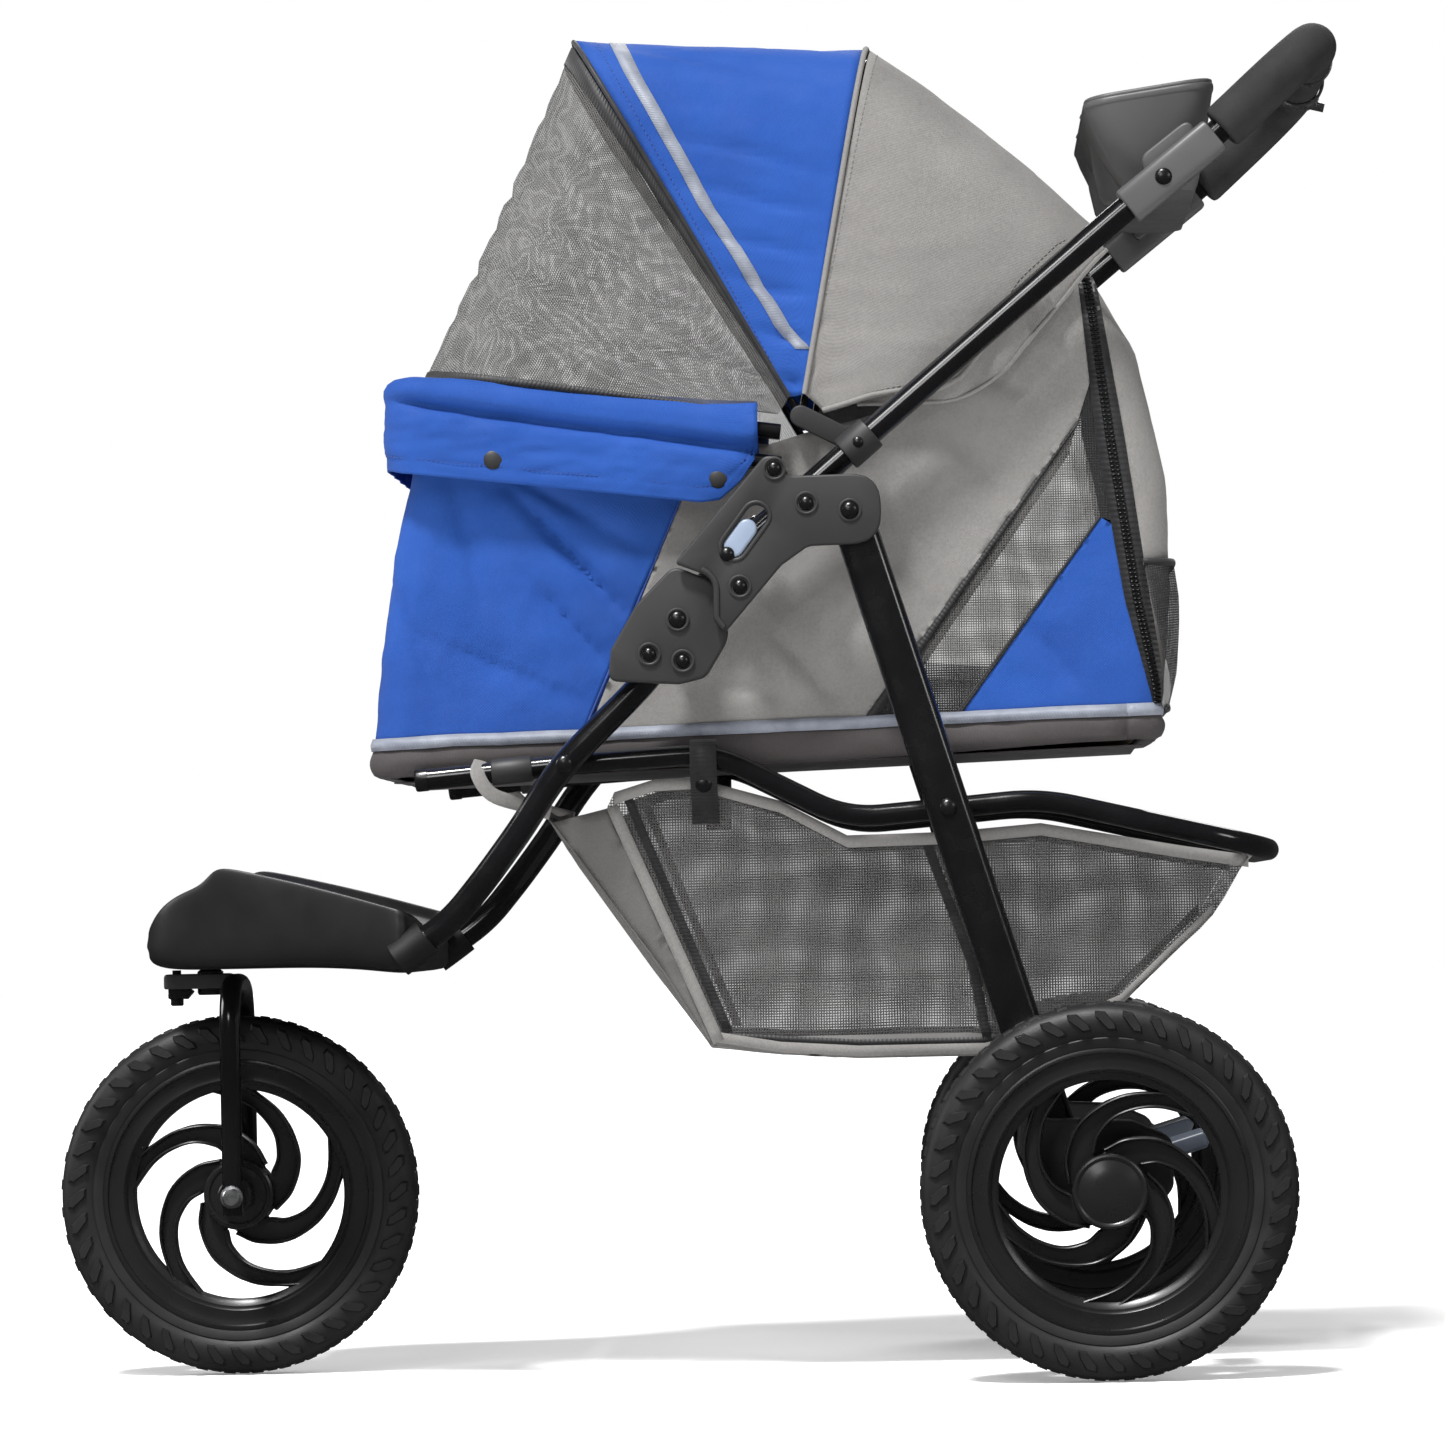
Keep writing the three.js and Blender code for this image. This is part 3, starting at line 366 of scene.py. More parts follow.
def plate_mesh(outline, y_low, y_high, ease=1.0, holes=(), steps=3):
    """A flat plate in XZ with rounded rims on its outline and its holes."""
    levels = [(ease * (1 - math.sin(a)), ease * (1 - math.cos(a))) for a in np.linspace(0, math.pi / 2, steps + 1)]
    rings = [(shift, y_low + depth) for shift, depth in levels]
    rings += [(shift, y_high - depth) for shift, depth in reversed(levels)]
    parts = []
    for loop, way in [(outline, 1), *[(h, -1) for h in holes]]:
        points, faces = [], []
        count = len(loop)
        for shift, y in rings:
            points += [(x, y, z) for x, z in inset(loop, shift * way)]
        for ring in range(len(rings) - 1):
            for i in range(count):
                j = (i + 1) % count
                faces.append([ring * count + i, ring * count + j, (ring + 1) * count + j, (ring + 1) * count + i])
        parts.append((points, faces))
    faces_in = inset(outline, ease), [inset(h, -ease) for h in holes]
    flat, triangles = fill(*faces_in)
    for y in (y_low, y_high):
        parts.append(([(x, y, z) for x, z in flat], triangles.tolist()))
    return merged("plate", parts)


def welded(obj, distance=0.02, sharp=None):
    """Merges doubled points and turns every face outward."""
    import bmesh

    work = bmesh.new()
    work.from_mesh(obj.data)
    bmesh.ops.remove_doubles(work, verts=work.verts, dist=distance * MM)
    bmesh.ops.recalc_face_normals(work, faces=work.faces)
    work.to_mesh(obj.data)
    work.free()
    if sharp is not None:
        obj.data.set_sharp_from_angle(angle=math.radians(sharp))
    return obj


def plate(name, outline, y_low, y_high, material, ease=1.0, holes=()):
    obj = add_mesh(name, *plate_mesh(outline, min(y_low, y_high), max(y_low, y_high), ease, holes), material)
    return welded(obj, sharp=60)


def dome_mesh(centre, y_base, side, radius, height, rings=6, count=20):
    """A rivet or snap head: a low dome standing outward from y_base on its side."""
    profile = [(radius * 1.0, 0.0)]
    profile += [
        (radius * math.cos(a), height * math.sin(a)) for a in np.linspace(0.25, math.pi / 2 - 0.05, rings)
    ]
    profile = [(r, y_base + side * h) for r, h in profile]
    return revolve([(r, y) for r, y in profile], (centre[0], 0, centre[1]), count, closed=False)


def rivets(name, centres, y_base, side, material, radius=6.0, height=4.0):
    parts = [dome_mesh(c, y_base, side, radius, height) for c in centres]
    return welded(add_mesh(name, *merged(name, parts), material), sharp=70)


# ------------------------------------------------------------------ materials
class Nodes:
    """Short hand for building one material's node tree."""

    def __init__(self, name):
        self.material = bpy.data.materials.new(name)
        self.material.use_nodes = True
        self.tree = self.material.node_tree
        self.shader = self.tree.nodes["Principled BSDF"]

    def add(self, kind, **settings):
        node = self.tree.nodes.new(kind)
        for key, value in settings.items():
            setattr(node, key, value)
        return node

    def link(self, source, target):
        self.tree.links.new(source, target)

    def coordinates(self, kind="Object"):
        return self.add("ShaderNodeTexCoord").outputs[kind]

    def noise(self, scale, detail=3.0, coordinates=None):
        node = self.add("ShaderNodeTexNoise")
        node.inputs["Scale"].default_value = scale
        node.inputs["Detail"].default_value = detail
        self.link(coordinates or self.coordinates(), node.inputs["Vector"])
        return node.outputs["Fac"]

    def ramp(self, factor, stops):
        """Grey or colour stops [(place, colour)] along factor."""
        node = self.add("ShaderNodeValToRGB")
        elements = node.color_ramp.elements
        while len(elements) < len(stops):
            elements.new(0.5)
        for element, (place, colour) in zip(elements, stops):
            element.position = place
            element.color = colour if len(colour) == 4 else (*colour, 1)
        self.link(factor, node.inputs["Fac"])
        return node.outputs["Color"]

    def math(self, operation, a, b=0.0):
        node = self.add("ShaderNodeMath", operation=operation)
        for socket, value in zip(node.inputs, (a, b)):
            if isinstance(value, (int, float)):
                socket.default_value = value
            else:
                self.link(value, socket)
        return node.outputs["Value"]

    def mix(self, factor, a, b):
        node = self.add("ShaderNodeMix", data_type="RGBA")
        for socket, value in ((node.inputs["Factor"], factor), (node.inputs["A"], a), (node.inputs["B"], b)):
            if isinstance(value, (int, float)):
                socket.default_value = value
            elif isinstance(value, tuple):
                socket.default_value = (*value, 1) if len(value) == 3 else value
            else:
                self.link(value, socket)
        return node.outputs["Result"]

    def bump(self, height, strength, distance, below=None):
        node = self.add("ShaderNodeBump")
        node.inputs["Strength"].default_value = strength
        node.inputs["Distance"].default_value = distance
        self.link(height, node.inputs["Height"])
        if below is not None:
            self.link(below, node.inputs["Normal"])
        return node.outputs["Normal"]

    def finish(self, colour, roughness, normal=None, **uniform):
        """Links colour and roughness, and sets whole-surface values on the shader's own sockets."""
        self.link(colour, self.shader.inputs["Base Color"])
        self.link(roughness, self.shader.inputs["Roughness"])
        if normal is not None:
            self.link(normal, self.shader.inputs["Normal"])
        for key, value in uniform.items():
            self.shader.inputs[key.replace("_", " ")].default_value = value
        return self.material


def shade(colour, factor):
    return tuple(min(1.0, c * factor) for c in colour)


def coated_tube(name, colour, rough):
    """Glossy powder-coated or painted steel with a faint orange peel and dust."""
    nodes = Nodes(name)
    broad = nodes.noise(18, 4)
    colour = nodes.ramp(broad, [(0.3, shade(colour, 0.8)), (0.7, shade(colour, 1.35))])
    roughness = nodes.ramp(nodes.noise(55, 5), [(0.3, (rough * 0.8,) * 3), (0.75, (rough * 1.35,) * 3)])
    peel = nodes.bump(nodes.noise(900, 1), 0.10, 0.0002)
    return nodes.finish(colour, roughness, peel, Coat_Weight=0.5, Coat_Roughness=0.08, Specular_IOR_Level=0.5)


def moulded(name, colour, rough, grain=2200, depth=0.25):
    """Injection-moulded plastic with a fine spark-eroded grain."""
    nodes = Nodes(name)
    broad = nodes.noise(14, 5)
    colour = nodes.ramp(broad, [(0.3, shade(colour, 0.86)), (0.7, shade(colour, 1.16))])
    roughness = nodes.ramp(nodes.noise(40, 5), [(0.3, (rough * 0.9,) * 3), (0.75, (min(1, rough * 1.15),) * 3)])
    normal = nodes.bump(nodes.noise(grain, 2), depth, 0.0002)
    return nodes.finish(colour, roughness, normal, Specular_IOR_Level=0.42)


def foamed(name, colour, rough, pores=1400, depth=0.5):
    """Foam rubber: matt, with small closed pores."""
    nodes = Nodes(name)
    pore = nodes.add("ShaderNodeTexVoronoi")
    pore.inputs["Scale"].default_value = pores
    nodes.link(nodes.coordinates(), pore.inputs["Vector"])
    colour = nodes.ramp(nodes.noise(22, 6), [(0.28, shade(colour, 0.75)), (0.72, shade(colour, 1.3))])
    roughness = nodes.ramp(nodes.noise(70, 3), [(0.3, (rough * 0.92,) * 3), (0.7, (min(1, rough * 1.08),) * 3)])
    coarse = nodes.bump(nodes.noise(260, 3), depth * 0.4, 0.0006)
    normal = nodes.bump(pore.outputs["Distance"], depth, 0.0003, coarse)
    return nodes.finish(colour, roughness, normal, Specular_IOR_Level=0.3)


def zinc_steel(name):
    nodes = Nodes(name)
    colour = nodes.ramp(nodes.noise(60, 5), [(0.3, (0.52, 0.53, 0.55)), (0.7, (0.72, 0.73, 0.74))])
    roughness = nodes.ramp(nodes.noise(150, 4), [(0.3, (0.22,) * 3), (0.7, (0.38,) * 3)])
    normal = nodes.bump(nodes.noise(700, 2), 0.08, 0.0002)
    return nodes.finish(colour, roughness, normal, Metallic=1.0)


def thread_wave(nodes, coordinate, pitch):
    """A sine with one swell for each thread along one coordinate in metres."""
    return nodes.math("SINE", nodes.math("MULTIPLY", coordinate, math.pi / pitch))


def woven(name, dark, light, pitch=0.0011, rough=0.78, sheen=0.18, wrinkle=0.35, heather=0.5):
    """Plain-weave polyester: threads cross in the UV map's metres, over mottled yarn."""
    nodes = Nodes(name)
    uv = nodes.add("ShaderNodeSeparateXYZ")
    nodes.link(nodes.coordinates("UV"), uv.inputs["Vector"])
    crossing = nodes.math("MULTIPLY", thread_wave(nodes, uv.outputs["X"], pitch), thread_wave(nodes, uv.outputs["Y"], pitch))
    height = nodes.math("MULTIPLY_ADD", crossing, 0.5)
    broad = nodes.noise(9, 5)
    yarn = nodes.noise(520, 3)
    tone = nodes.math("ADD", nodes.math("MULTIPLY", broad, 1 - heather * 0.5), nodes.math("MULTIPLY", yarn, heather * 0.5))
    base = nodes.ramp(tone, [(0.34, dark), (0.62, light)])
    colour = nodes.mix(nodes.math("MULTIPLY_ADD", crossing, 0.12), base, shade(dark, 0.7))
    roughness = nodes.ramp(nodes.noise(35, 4), [(0.3, (rough * 0.92,) * 3), (0.7, (min(1, rough * 1.08),) * 3)])
    folds = nodes.bump(nodes.noise(22, 3), wrinkle, 0.006)
    normal = nodes.bump(height, 0.35, 0.0004, folds)
    return nodes.finish(colour, roughness, normal, Sheen_Weight=sheen, Sheen_Roughness=0.4, Specular_IOR_Level=0.25)


def open_mesh(name, colour, pitch, thread, veil, rough=0.7):
    """Knitted mesh: square holes over the UV map's metres. thread is a thread's share of the pitch,
    and veil is how much of a hole its loose fibres cover."""
    nodes = Nodes(name)
    uv = nodes.add("ShaderNodeSeparateXYZ")
    nodes.link(nodes.coordinates("UV"), uv.inputs["Vector"])
    warp = nodes.math("MULTIPLY", nodes.noise(9, 2), 0.004)
    crossings = []
    for axis in ("X", "Y"):
        wave = thread_wave(nodes, nodes.math("ADD", uv.outputs[axis], warp), pitch)
        crossings.append(nodes.math("ABSOLUTE", wave))
    hole = nodes.math("MINIMUM", *crossings)
    solid = nodes.math("LESS_THAN", hole, math.sin(math.pi * thread / 2))
    nodes.link(nodes.math("MAXIMUM", solid, veil), nodes.shader.inputs["Alpha"])
    colour = nodes.ramp(nodes.noise(30, 4), [(0.3, shade(colour, 0.75)), (0.7, shade(colour, 1.3))])
    roughness = nodes.ramp(nodes.noise(300, 2), [(0.3, (rough * 0.9,) * 3), (0.7, (rough * 1.1,) * 3)])
    return nodes.finish(colour, roughness, nodes.bump(hole, 0.4, 0.0004), Specular_IOR_Level=0.3)


def ribbed_tape(name, dark, light, pitch=0.0016, rough=0.6):
    """Webbing, binding and zip tape: fine ribs across the UV map's U."""
    nodes = Nodes(name)
    uv = nodes.add("ShaderNodeSeparateXYZ")
    nodes.link(nodes.coordinates("UV"), uv.inputs["Vector"])
    rib = nodes.math("MULTIPLY_ADD", thread_wave(nodes, uv.outputs["X"], pitch), 0.5)
    colour = nodes.ramp(nodes.noise(60, 5), [(0.3, dark), (0.7, light)])
    roughness = nodes.ramp(nodes.noise(90, 3), [(0.3, (rough * 0.9,) * 3), (0.7, (min(1, rough * 1.1),) * 3)])
    normal = nodes.bump(rib, 0.35, 0.0005, nodes.bump(nodes.noise(420, 3), 0.2, 0.0005))
    return nodes.finish(colour, roughness, normal, Sheen_Weight=0.12)


def fibreboard(name):
    nodes = Nodes(name)
    colour = nodes.ramp(nodes.noise(120, 8), [(0.3, (0.12, 0.09, 0.06)), (0.7, (0.26, 0.2, 0.14))])
    roughness = nodes.ramp(nodes.noise(60, 4), [(0.3, (0.7,) * 3), (0.7, (0.85,) * 3)])
    return nodes.finish(colour, roughness, nodes.bump(nodes.noise(600, 5), 0.4, 0.0005))


BLACK_TUBE = coated_tube("black_coated_steel", (0.0035, 0.0035, 0.004), 0.17)
LEG_COATING = coated_tube("leg_coated_steel", (0.0035, 0.0035, 0.004), 0.24)
GLOSSY_PLASTIC = moulded("glossy_black_plastic", (0.005, 0.005, 0.0055), 0.25, 1600, 0.08)
BLACK_PLASTIC = moulded("black_plastic", (0.022, 0.0215, 0.022), 0.5)
FOOTREST_PLASTIC = moulded("footrest_plastic", (0.007, 0.0068, 0.007), 0.42)
# The cup tray's plastic: its own dark grey, made lighter as a painted highlight on the bowl.
TRAY_PLASTIC_PAINTED_HIGHLIGHT = moulded("tray_plastic_painted_highlight", (0.070, 0.069, 0.070), 0.42)
WHEEL_PLASTIC = moulded("wheel_plastic", (0.0085, 0.0082, 0.0085), 0.28, 1600, 0.1)
TYRE_FOAM = foamed("tyre_foam", (0.011, 0.0107, 0.011), 0.46, 1400, 0.3)
GRIP_FOAM = foamed("grip_foam", (0.022, 0.0214, 0.022), 0.8, 1100, 0.8)
STEEL = zinc_steel("zinc_plated_steel")
PALE_GREY = moulded("pale_plastic", (0.22, 0.27, 0.36), 0.35, 1600, 0.1)
PEDAL_PLASTIC = moulded("pedal_plastic", (0.055, 0.065, 0.085), 0.4, 1600, 0.1)
BLUE = woven("blue_polyester", (0.010, 0.058, 0.28), (0.019, 0.094, 0.41), sheen=0.02)
GREY = woven("grey_polyester", (0.185, 0.179, 0.172), (0.285, 0.276, 0.266), sheen=0.04, heather=1.0)
DARK = woven("dark_polyester", (0.056, 0.049, 0.050), (0.096, 0.085, 0.086), rough=0.7, sheen=0.05)
DARK_GREY = woven("dark_grey_polyester", (0.115, 0.111, 0.108), (0.185, 0.179, 0.175), rough=0.74, sheen=0.05)
PALE_MESH = open_mesh("side_mesh", (0.090, 0.088, 0.085), 0.0019, 0.31, 0.22)
DARK_MESH = open_mesh("dark_mesh", (0.020, 0.020, 0.021), 0.0019, 0.40, 0.3)
BASKET_MESH = open_mesh("basket_mesh", (0.062, 0.060, 0.059), 0.0021, 0.36, 0.42)
BINDING = ribbed_tape("black_binding", (0.008, 0.008, 0.009), (0.018, 0.017, 0.019))
BLUE_BINDING = ribbed_tape("blue_binding", (0.007, 0.028, 0.16), (0.013, 0.05, 0.26))
REFLECTIVE = ribbed_tape("reflective_tape", (0.15, 0.165, 0.205), (0.24, 0.26, 0.31), 0.0011, 0.5)
ZIP_TAPE = ribbed_tape("zip_tape", (0.008, 0.008, 0.009), (0.018, 0.018, 0.02), 0.0022, 0.5)
BOARD = fibreboard("fibreboard")


# ------------------------------------------------------------------ tubes and pins
def add_tube(name, body, stations, radius, material, slot, nodes, sides=24):
    return place(tube(name, stations, radius, material, sides), body, slot, *nodes)


def headed_pin(name, body, centre, inner, outer, side, nodes, material=None, head=6.5, height=3.4, slot="black_tube"):
    """A round pin through inner..outer with a domed head outside and a flat one inside."""
    profile = [(0.6, inner - 2.6), (5.2, inner - 2.6), (5.8, inner - 1.8), (5.8, inner), (4, inner), (4, outer), (head, outer)]
    for turn in np.linspace(0.15, math.pi / 2 - 0.1, 6):
        profile.append((head * math.cos(turn), outer + height * math.sin(turn)))
    profile = [(radius, side * y) for radius, y in profile]
    points, faces = revolve(profile, (centre[0], 0, centre[1]), 28, closed=False)
    obj = welded(add_mesh(name, points, faces, material or GLOSSY_PLASTIC), sharp=40)
    return place(obj, body, slot, *nodes)


DOWN_TUBE_POINTS = (
    (-1.8, 190, 572.5), (-29, 190, 524), (-94.3, 190, 458.1), (-131, 189, 407),
    (-161, 187, 368), (-185, 186, 342), (-222, 184, 316),
)


def front_frame():
    for name, side in SIDES:
        stations = spline([Vector((x, side * y, z)) for x, y, z in DOWN_TUBE_POINTS], 6)
        add_tube(f"down_tube_{name}.piece", "front_frame", stations, 10, BLACK_TUBE, "black_tube", [f"down_tube_{name}"])
        outline = rounded_outline([
            (-57.5, 541, 5), (-60, 518, 7), (-8, 514.5, 14), (12, 519, 12), (30, 548, 24),
            (24, 588, 24), (-10, 602, 12), (-38, 574, 20),
        ], 8)
        span = sorted((side * 201.5, side * 216))
        lower = plate(f"lower_hinge_plate_{name}.piece", outline, *span, BLACK_PLASTIC, 2.0)
        place(lower, "front_frame", "black_plastic", f"lower_hinge_plate_{name}")
        pins = (("fold_pin", FOLD_PIVOT, 178, 216.8), ("rail_pin", RAIL_PIVOT, 161, 200.3))
        for pin, centre, inner, outer in pins:
            headed_pin(f"{pin}_{name}.piece", "front_frame", centre, inner, outer, side, [f"{pin}_{name}"])


# ------------------------------------------------------------------ footrest and castor
FOOTREST_SECTIONS = (
    # x, half width, bottom, shoulder, lip: the side wall rises from the shoulder to the lip
    (-421, 92, 321, 330, 334), (-415, 110, 315, 343, 347), (-404, 124, 312, 357, 361),
    (-388, 134, 311, 366, 370), (-372, 141, 311, 371, 375), (-363, 145, 311, 376, 387),
    (-352, 149, 311, 377, 388), (-330, 156, 311, 371, 383), (-300, 165, 311, 362, 376),
    (-270, 175, 310, 353, 368), (-245, 184, 308, 347, 361), (-222, 193, 305, 341, 354),
    (-206, 199, 306, 338, 350),
)


def footrest_ring(x, half, low, shoulder, lip):
    """One section: rounded underside, upright side walls with a lip, and a dished top."""
    wall, dish = 7.0, min(14.0, (lip - low) * 0.35)
    half_ring = [
        (0, low), (half * 0.5, low), (half - 14, low), (half - 5, low + 3), (half - 1, low + 9),
        (half, (low + shoulder) / 2), (half - 1, shoulder), (half - 2.5, lip - 2), (half - wall * 0.5, lip),
        (half - wall, lip - 2), (half - wall - 4, lip - dish * 0.6), (half - wall - 12, lip - dish), (half * 0.5, lip - dish - 1),
        (0, lip - dish - 2),
    ]
    mirrored = [(-y, z) for y, z in half_ring[-2:0:-1]]
    return [Vector((x, y, z)) for y, z in half_ring + mirrored]


def loft_mesh(rings):
    count = len(rings[0])
    points = [p for ring in rings for p in ring]
    faces = []
    for r in range(len(rings) - 1):
        for i in range(count):
            j = (i + 1) % count
            faces.append([r * count + i, r * count + j, (r + 1) * count + j, (r + 1) * count + i])
    faces += [list(range(count))[::-1], [(len(rings) - 1) * count + i for i in range(count)]]
    return points, faces


def subdivided(obj, levels=1):
    """Applies subdivision to the piece's mesh."""
    modifier = obj.modifiers.new("smooth", "SUBSURF")
    modifier.levels = modifier.render_levels = levels
    graph = bpy.context.evaluated_depsgraph_get()
    mesh = bpy.data.meshes.new_from_object(obj.evaluated_get(graph))
    obj.modifiers.clear()
    obj.data = mesh
    return obj


def footrest():
    tray = add_mesh("footrest.piece", *loft_mesh([footrest_ring(*s) for s in FOOTREST_SECTIONS]), FOOTREST_PLASTIC)
    subdivided(welded(tray), 2)
    place(tray, "front_frame", "black_plastic", "footrest")
    ridges = []
    for i in range(7):
        x = -345 + i * 18
        lip = np.interp(x, [s[0] for s in FOOTREST_SECTIONS], [s[4] for s in FOOTREST_SECTIONS])
        line = [Vector((x + 4 * math.cos(y / 40), y, lip - 15.2)) for y in range(-110, 111, 10)]
        ridges.append(sweep(line, oval_section(1.6, 3.2, 2, 10), Vector((0, 0, 1))))
    place(add_mesh("footrest_ridges", *merged("ridges", ridges), FOOTREST_PLASTIC, sharp=60), "front_frame", "black_plastic")
    for name, side in SIDES:
        collar = [Vector((x, side * y, z)) for x, y, z in ((-222, 184, 316), (-214, 184.5, 321.5), (-205, 185, 328), (-199, 185.5, 332.5))]
        ring = sweep(collar, ring_section(14, 28))
        place(add_mesh(f"tube_socket_{name}", *ring, FOOTREST_PLASTIC, sharp=50), "front_frame", "black_plastic")


SWIVEL_X = -382
FORK_LEG_Y = 55
FORK_CROWN_Z = 299
LOCK_X = SWIVEL_X - 26


def turned_post(profile, x, y):
    return revolve(profile, (x, y, 0), 40, closed=False, axis="z")


def castor():
    housing = turned_post([(0.5, 312), (20, 312), (22, 314), (22, 346), (20, 349), (0.5, 349)], SWIVEL_X, 0)
    place(add_mesh("swivel_housing.piece", *housing, BLACK_PLASTIC, sharp=40), "front_frame", "black_plastic", "swivel_housing")
    corners = [at(FRONT_WHEEL_X, -FORK_LEG_Y, AXLE_Z - 14), at(FRONT_WHEEL_X, -FORK_LEG_Y, FORK_CROWN_Z),
               at(FRONT_WHEEL_X, FORK_LEG_Y, FORK_CROWN_Z), at(FRONT_WHEEL_X, FORK_LEG_Y, AXLE_Z - 14)]
    arch = sweep(bent(corners, 38, 10), ring_section(8, 28))
    stem = turned_post([(0.5, 291), (9, 291), (10, 293), (10, 309), (8, 310.5), (8, 342), (0.5, 342)], SWIVEL_X, 0)
    fork = add_mesh("fork.piece", *merged("fork", [arch, stem]), BLACK_TUBE, sharp=45)
    place(fork, "fork", "black_tube", "fork")
    lug_outline = rounded_outline([(LOCK_X - 9, 296, 2), (SWIVEL_X + 18, 296, 2), (SWIVEL_X + 18, 307.5, 4), (LOCK_X - 9, 307.5, 3)], 4)
    lug = plate("fork_lug", lug_outline, -11, 11, BLACK_PLASTIC, 1.5)
    place(lug, "fork", "black_tube")
    claw_outline = rounded_outline([(LOCK_X - 6, 292, 1), (LOCK_X + 8, 288, 1), (LOCK_X + 13, 294, 1), (LOCK_X + 9, 297, 1), (LOCK_X - 6, 298, 1)], 3)
    claw = plate("swivel_lock_spring_clip", claw_outline, -8, 8, GLOSSY_PLASTIC, 0.8)
    place(claw, "fork", "black_plastic")
    knob = turned_post([(0.5, 283), (4, 283), (5, 284), (5, 288), (7, 289), (7, 292), (3.4, 292.5), (3.4, 310.5), (0.5, 310.5)], LOCK_X, 0)
    place(add_mesh("swivel_lock_knob.piece", *knob, GLOSSY_PLASTIC, sharp=40), "swivel_lock", "black_plastic", "swivel_lock_knob")
    front_axle()


def front_axle():
    parts = [revolve([(0.4, -62), (4.8, -62), (4.8, 62), (0.4, 62)], (FRONT_WHEEL_X, 0, AXLE_Z), 28, closed=False)]
    for side in (-1, 1):
        washer = [(0.4, 62.8), (8.4, 62.8), (8.8, 63.4), (8.4, 64.4), (7, 64.6), (7, 68), (6, 69.2), (0.4, 69.4)]
        profile = [(r, side * y) for r, y in washer]
        parts.append(revolve(profile, (FRONT_WHEEL_X, 0, AXLE_Z), 28, closed=False))
    axle = welded(add_mesh("front_axle.piece", *merged("axle", parts), STEEL), sharp=35)
    place(axle, "fork", "bright_steel", "front_axle")


# ------------------------------------------------------------------ wheels
SPOKES = 5
TREAD_BLOCKS = 40
TYRE_PROFILE = (
    (104.2, -17), (108, -18.4), (111, -18.6), (112, -17.9), (113, -18.8), (118, -20.6), (124, -20.8), (129, -19.4),
    (133, -16.6), (135.4, -13), (136.7, -8), (137.2, 0), (136.7, 8), (135.4, 13), (133, 16.6), (129, 19.4), (124, 20.8),
    (118, 20.6), (113, 18.8), (112, 17.9), (111, 18.6), (108, 18.4), (104.2, 17),
)
RIM_PROFILE = (
    (104.2, -16.5), (102.5, -17.4), (100.6, -17.2), (99.6, -15.4), (97, -15), (92, -14.6), (88.6, -15.2), (87, -14),
    (85.6, -11), (82.4, -9.6), (80.6, -8), (80.6, 8), (82.4, 9.6), (85.6, 11), (87, 14), (88.6, 15.2), (92, 14.6),
    (97, 15), (99.6, 15.4), (100.6, 17.2), (102.5, 17.4), (104.2, 16.5),
)


def tread_block(centre, turn, side):
    """A raised lug on the tyre's shoulder, skewed along the turning direction."""
    corners = [(116.5, -4.2), (116.5, 3.0), (127.5, 5.6), (131.5, 1.6), (130.5, -5.2), (121, -6.4)]
    base, top = [], []
    for radius, across in corners:
        for level, store in ((0, base), (1, top)):
            shrink = 0.78 if level else 1
            r = 123.6 + (radius - 123.6) * shrink
            a = turn + (across * shrink + 0.8 * (r - 123)) / 124 * 0.9
            y = 20.2 - max(0, (r - 124)) * 0.22 + level * 3.2
            store.append((centre[0] + r * math.cos(a), centre[1] + side * y, centre[2] + r * math.sin(a)))
    count = len(corners)
    faces = [[i, (i + 1) % count, count + (i + 1) % count, count + i] for i in range(count)]
    return base + top, [*faces, [count + i for i in range(count)]]


def crown_block(centre, turn, across):
    """A lug across the tyre's crown."""
    points = []
    for level in (0, 1):
        shrink = 1 - 0.14 * level
        for da, dy in ((-4.2, -5), (4.2, -5), (5.2, 5), (-3.2, 5)):
            y = across + dy * shrink
            r = 137.1 - (abs(y) / 18) ** 2.6 * 3 + level * 0.9 - (1 - level) * 1.4
            a = turn + da * shrink / 137
            points.append((centre[0] + r * math.cos(a), centre[1] + y, centre[2] + r * math.sin(a)))
    faces = [[i, (i + 1) % 4, 4 + (i + 1) % 4, 4 + i] for i in range(4)]
    return points, [*faces, [4, 5, 6, 7]]


def tyre_piece(name, body, centre, node):
    parts = [revolve([(r, y) for r, y in TYRE_PROFILE], centre, 144)]
    step = 2 * math.pi / TREAD_BLOCKS
    for i in range(TREAD_BLOCKS):
        parts += [tread_block(centre, i * step, -1), tread_block(centre, (i + 0.5) * step, 1)]
        parts += [crown_block(centre, (i + 0.5) * step, -7), crown_block(centre, i * step, 7)]
    tyre = welded(add_mesh(name, *merged("tyre", parts), TYRE_FOAM), 0.001, sharp=38)
    place(tyre, body, "tyre_foam", node)


def swirl_line(centre, turn, swirl, stops, y):
    """A curve from the hub outward: stops are (radius, degrees from the first)."""
    points = []
    for radius, degrees in stops:
        a = turn + swirl * math.radians(degrees)
        points.append(Vector((centre[0] + radius * math.cos(a), y, centre[2] + radius * math.sin(a))))
    return spline(points, 6)


def spoke_web(centre, turn, swirl):
    """One curved blade between hub and rim, as an outline in XZ."""
    outer_edge = [(25, -40), (38, -4), (52, 26), (66, 54), (80, 80), (90, 94)]
    inner_edge = [(25, 30), (36, 38), (48, 52), (60, 70), (72, 90), (84, 108), (90, 116)]
    lead = [tuple((p.x, p.z)) for p in swirl_line(centre, turn, swirl, outer_edge, 0)]
    trail = [tuple((p.x, p.z)) for p in swirl_line(centre, turn, swirl, inner_edge, 0)]
    return lead + trail[::-1]


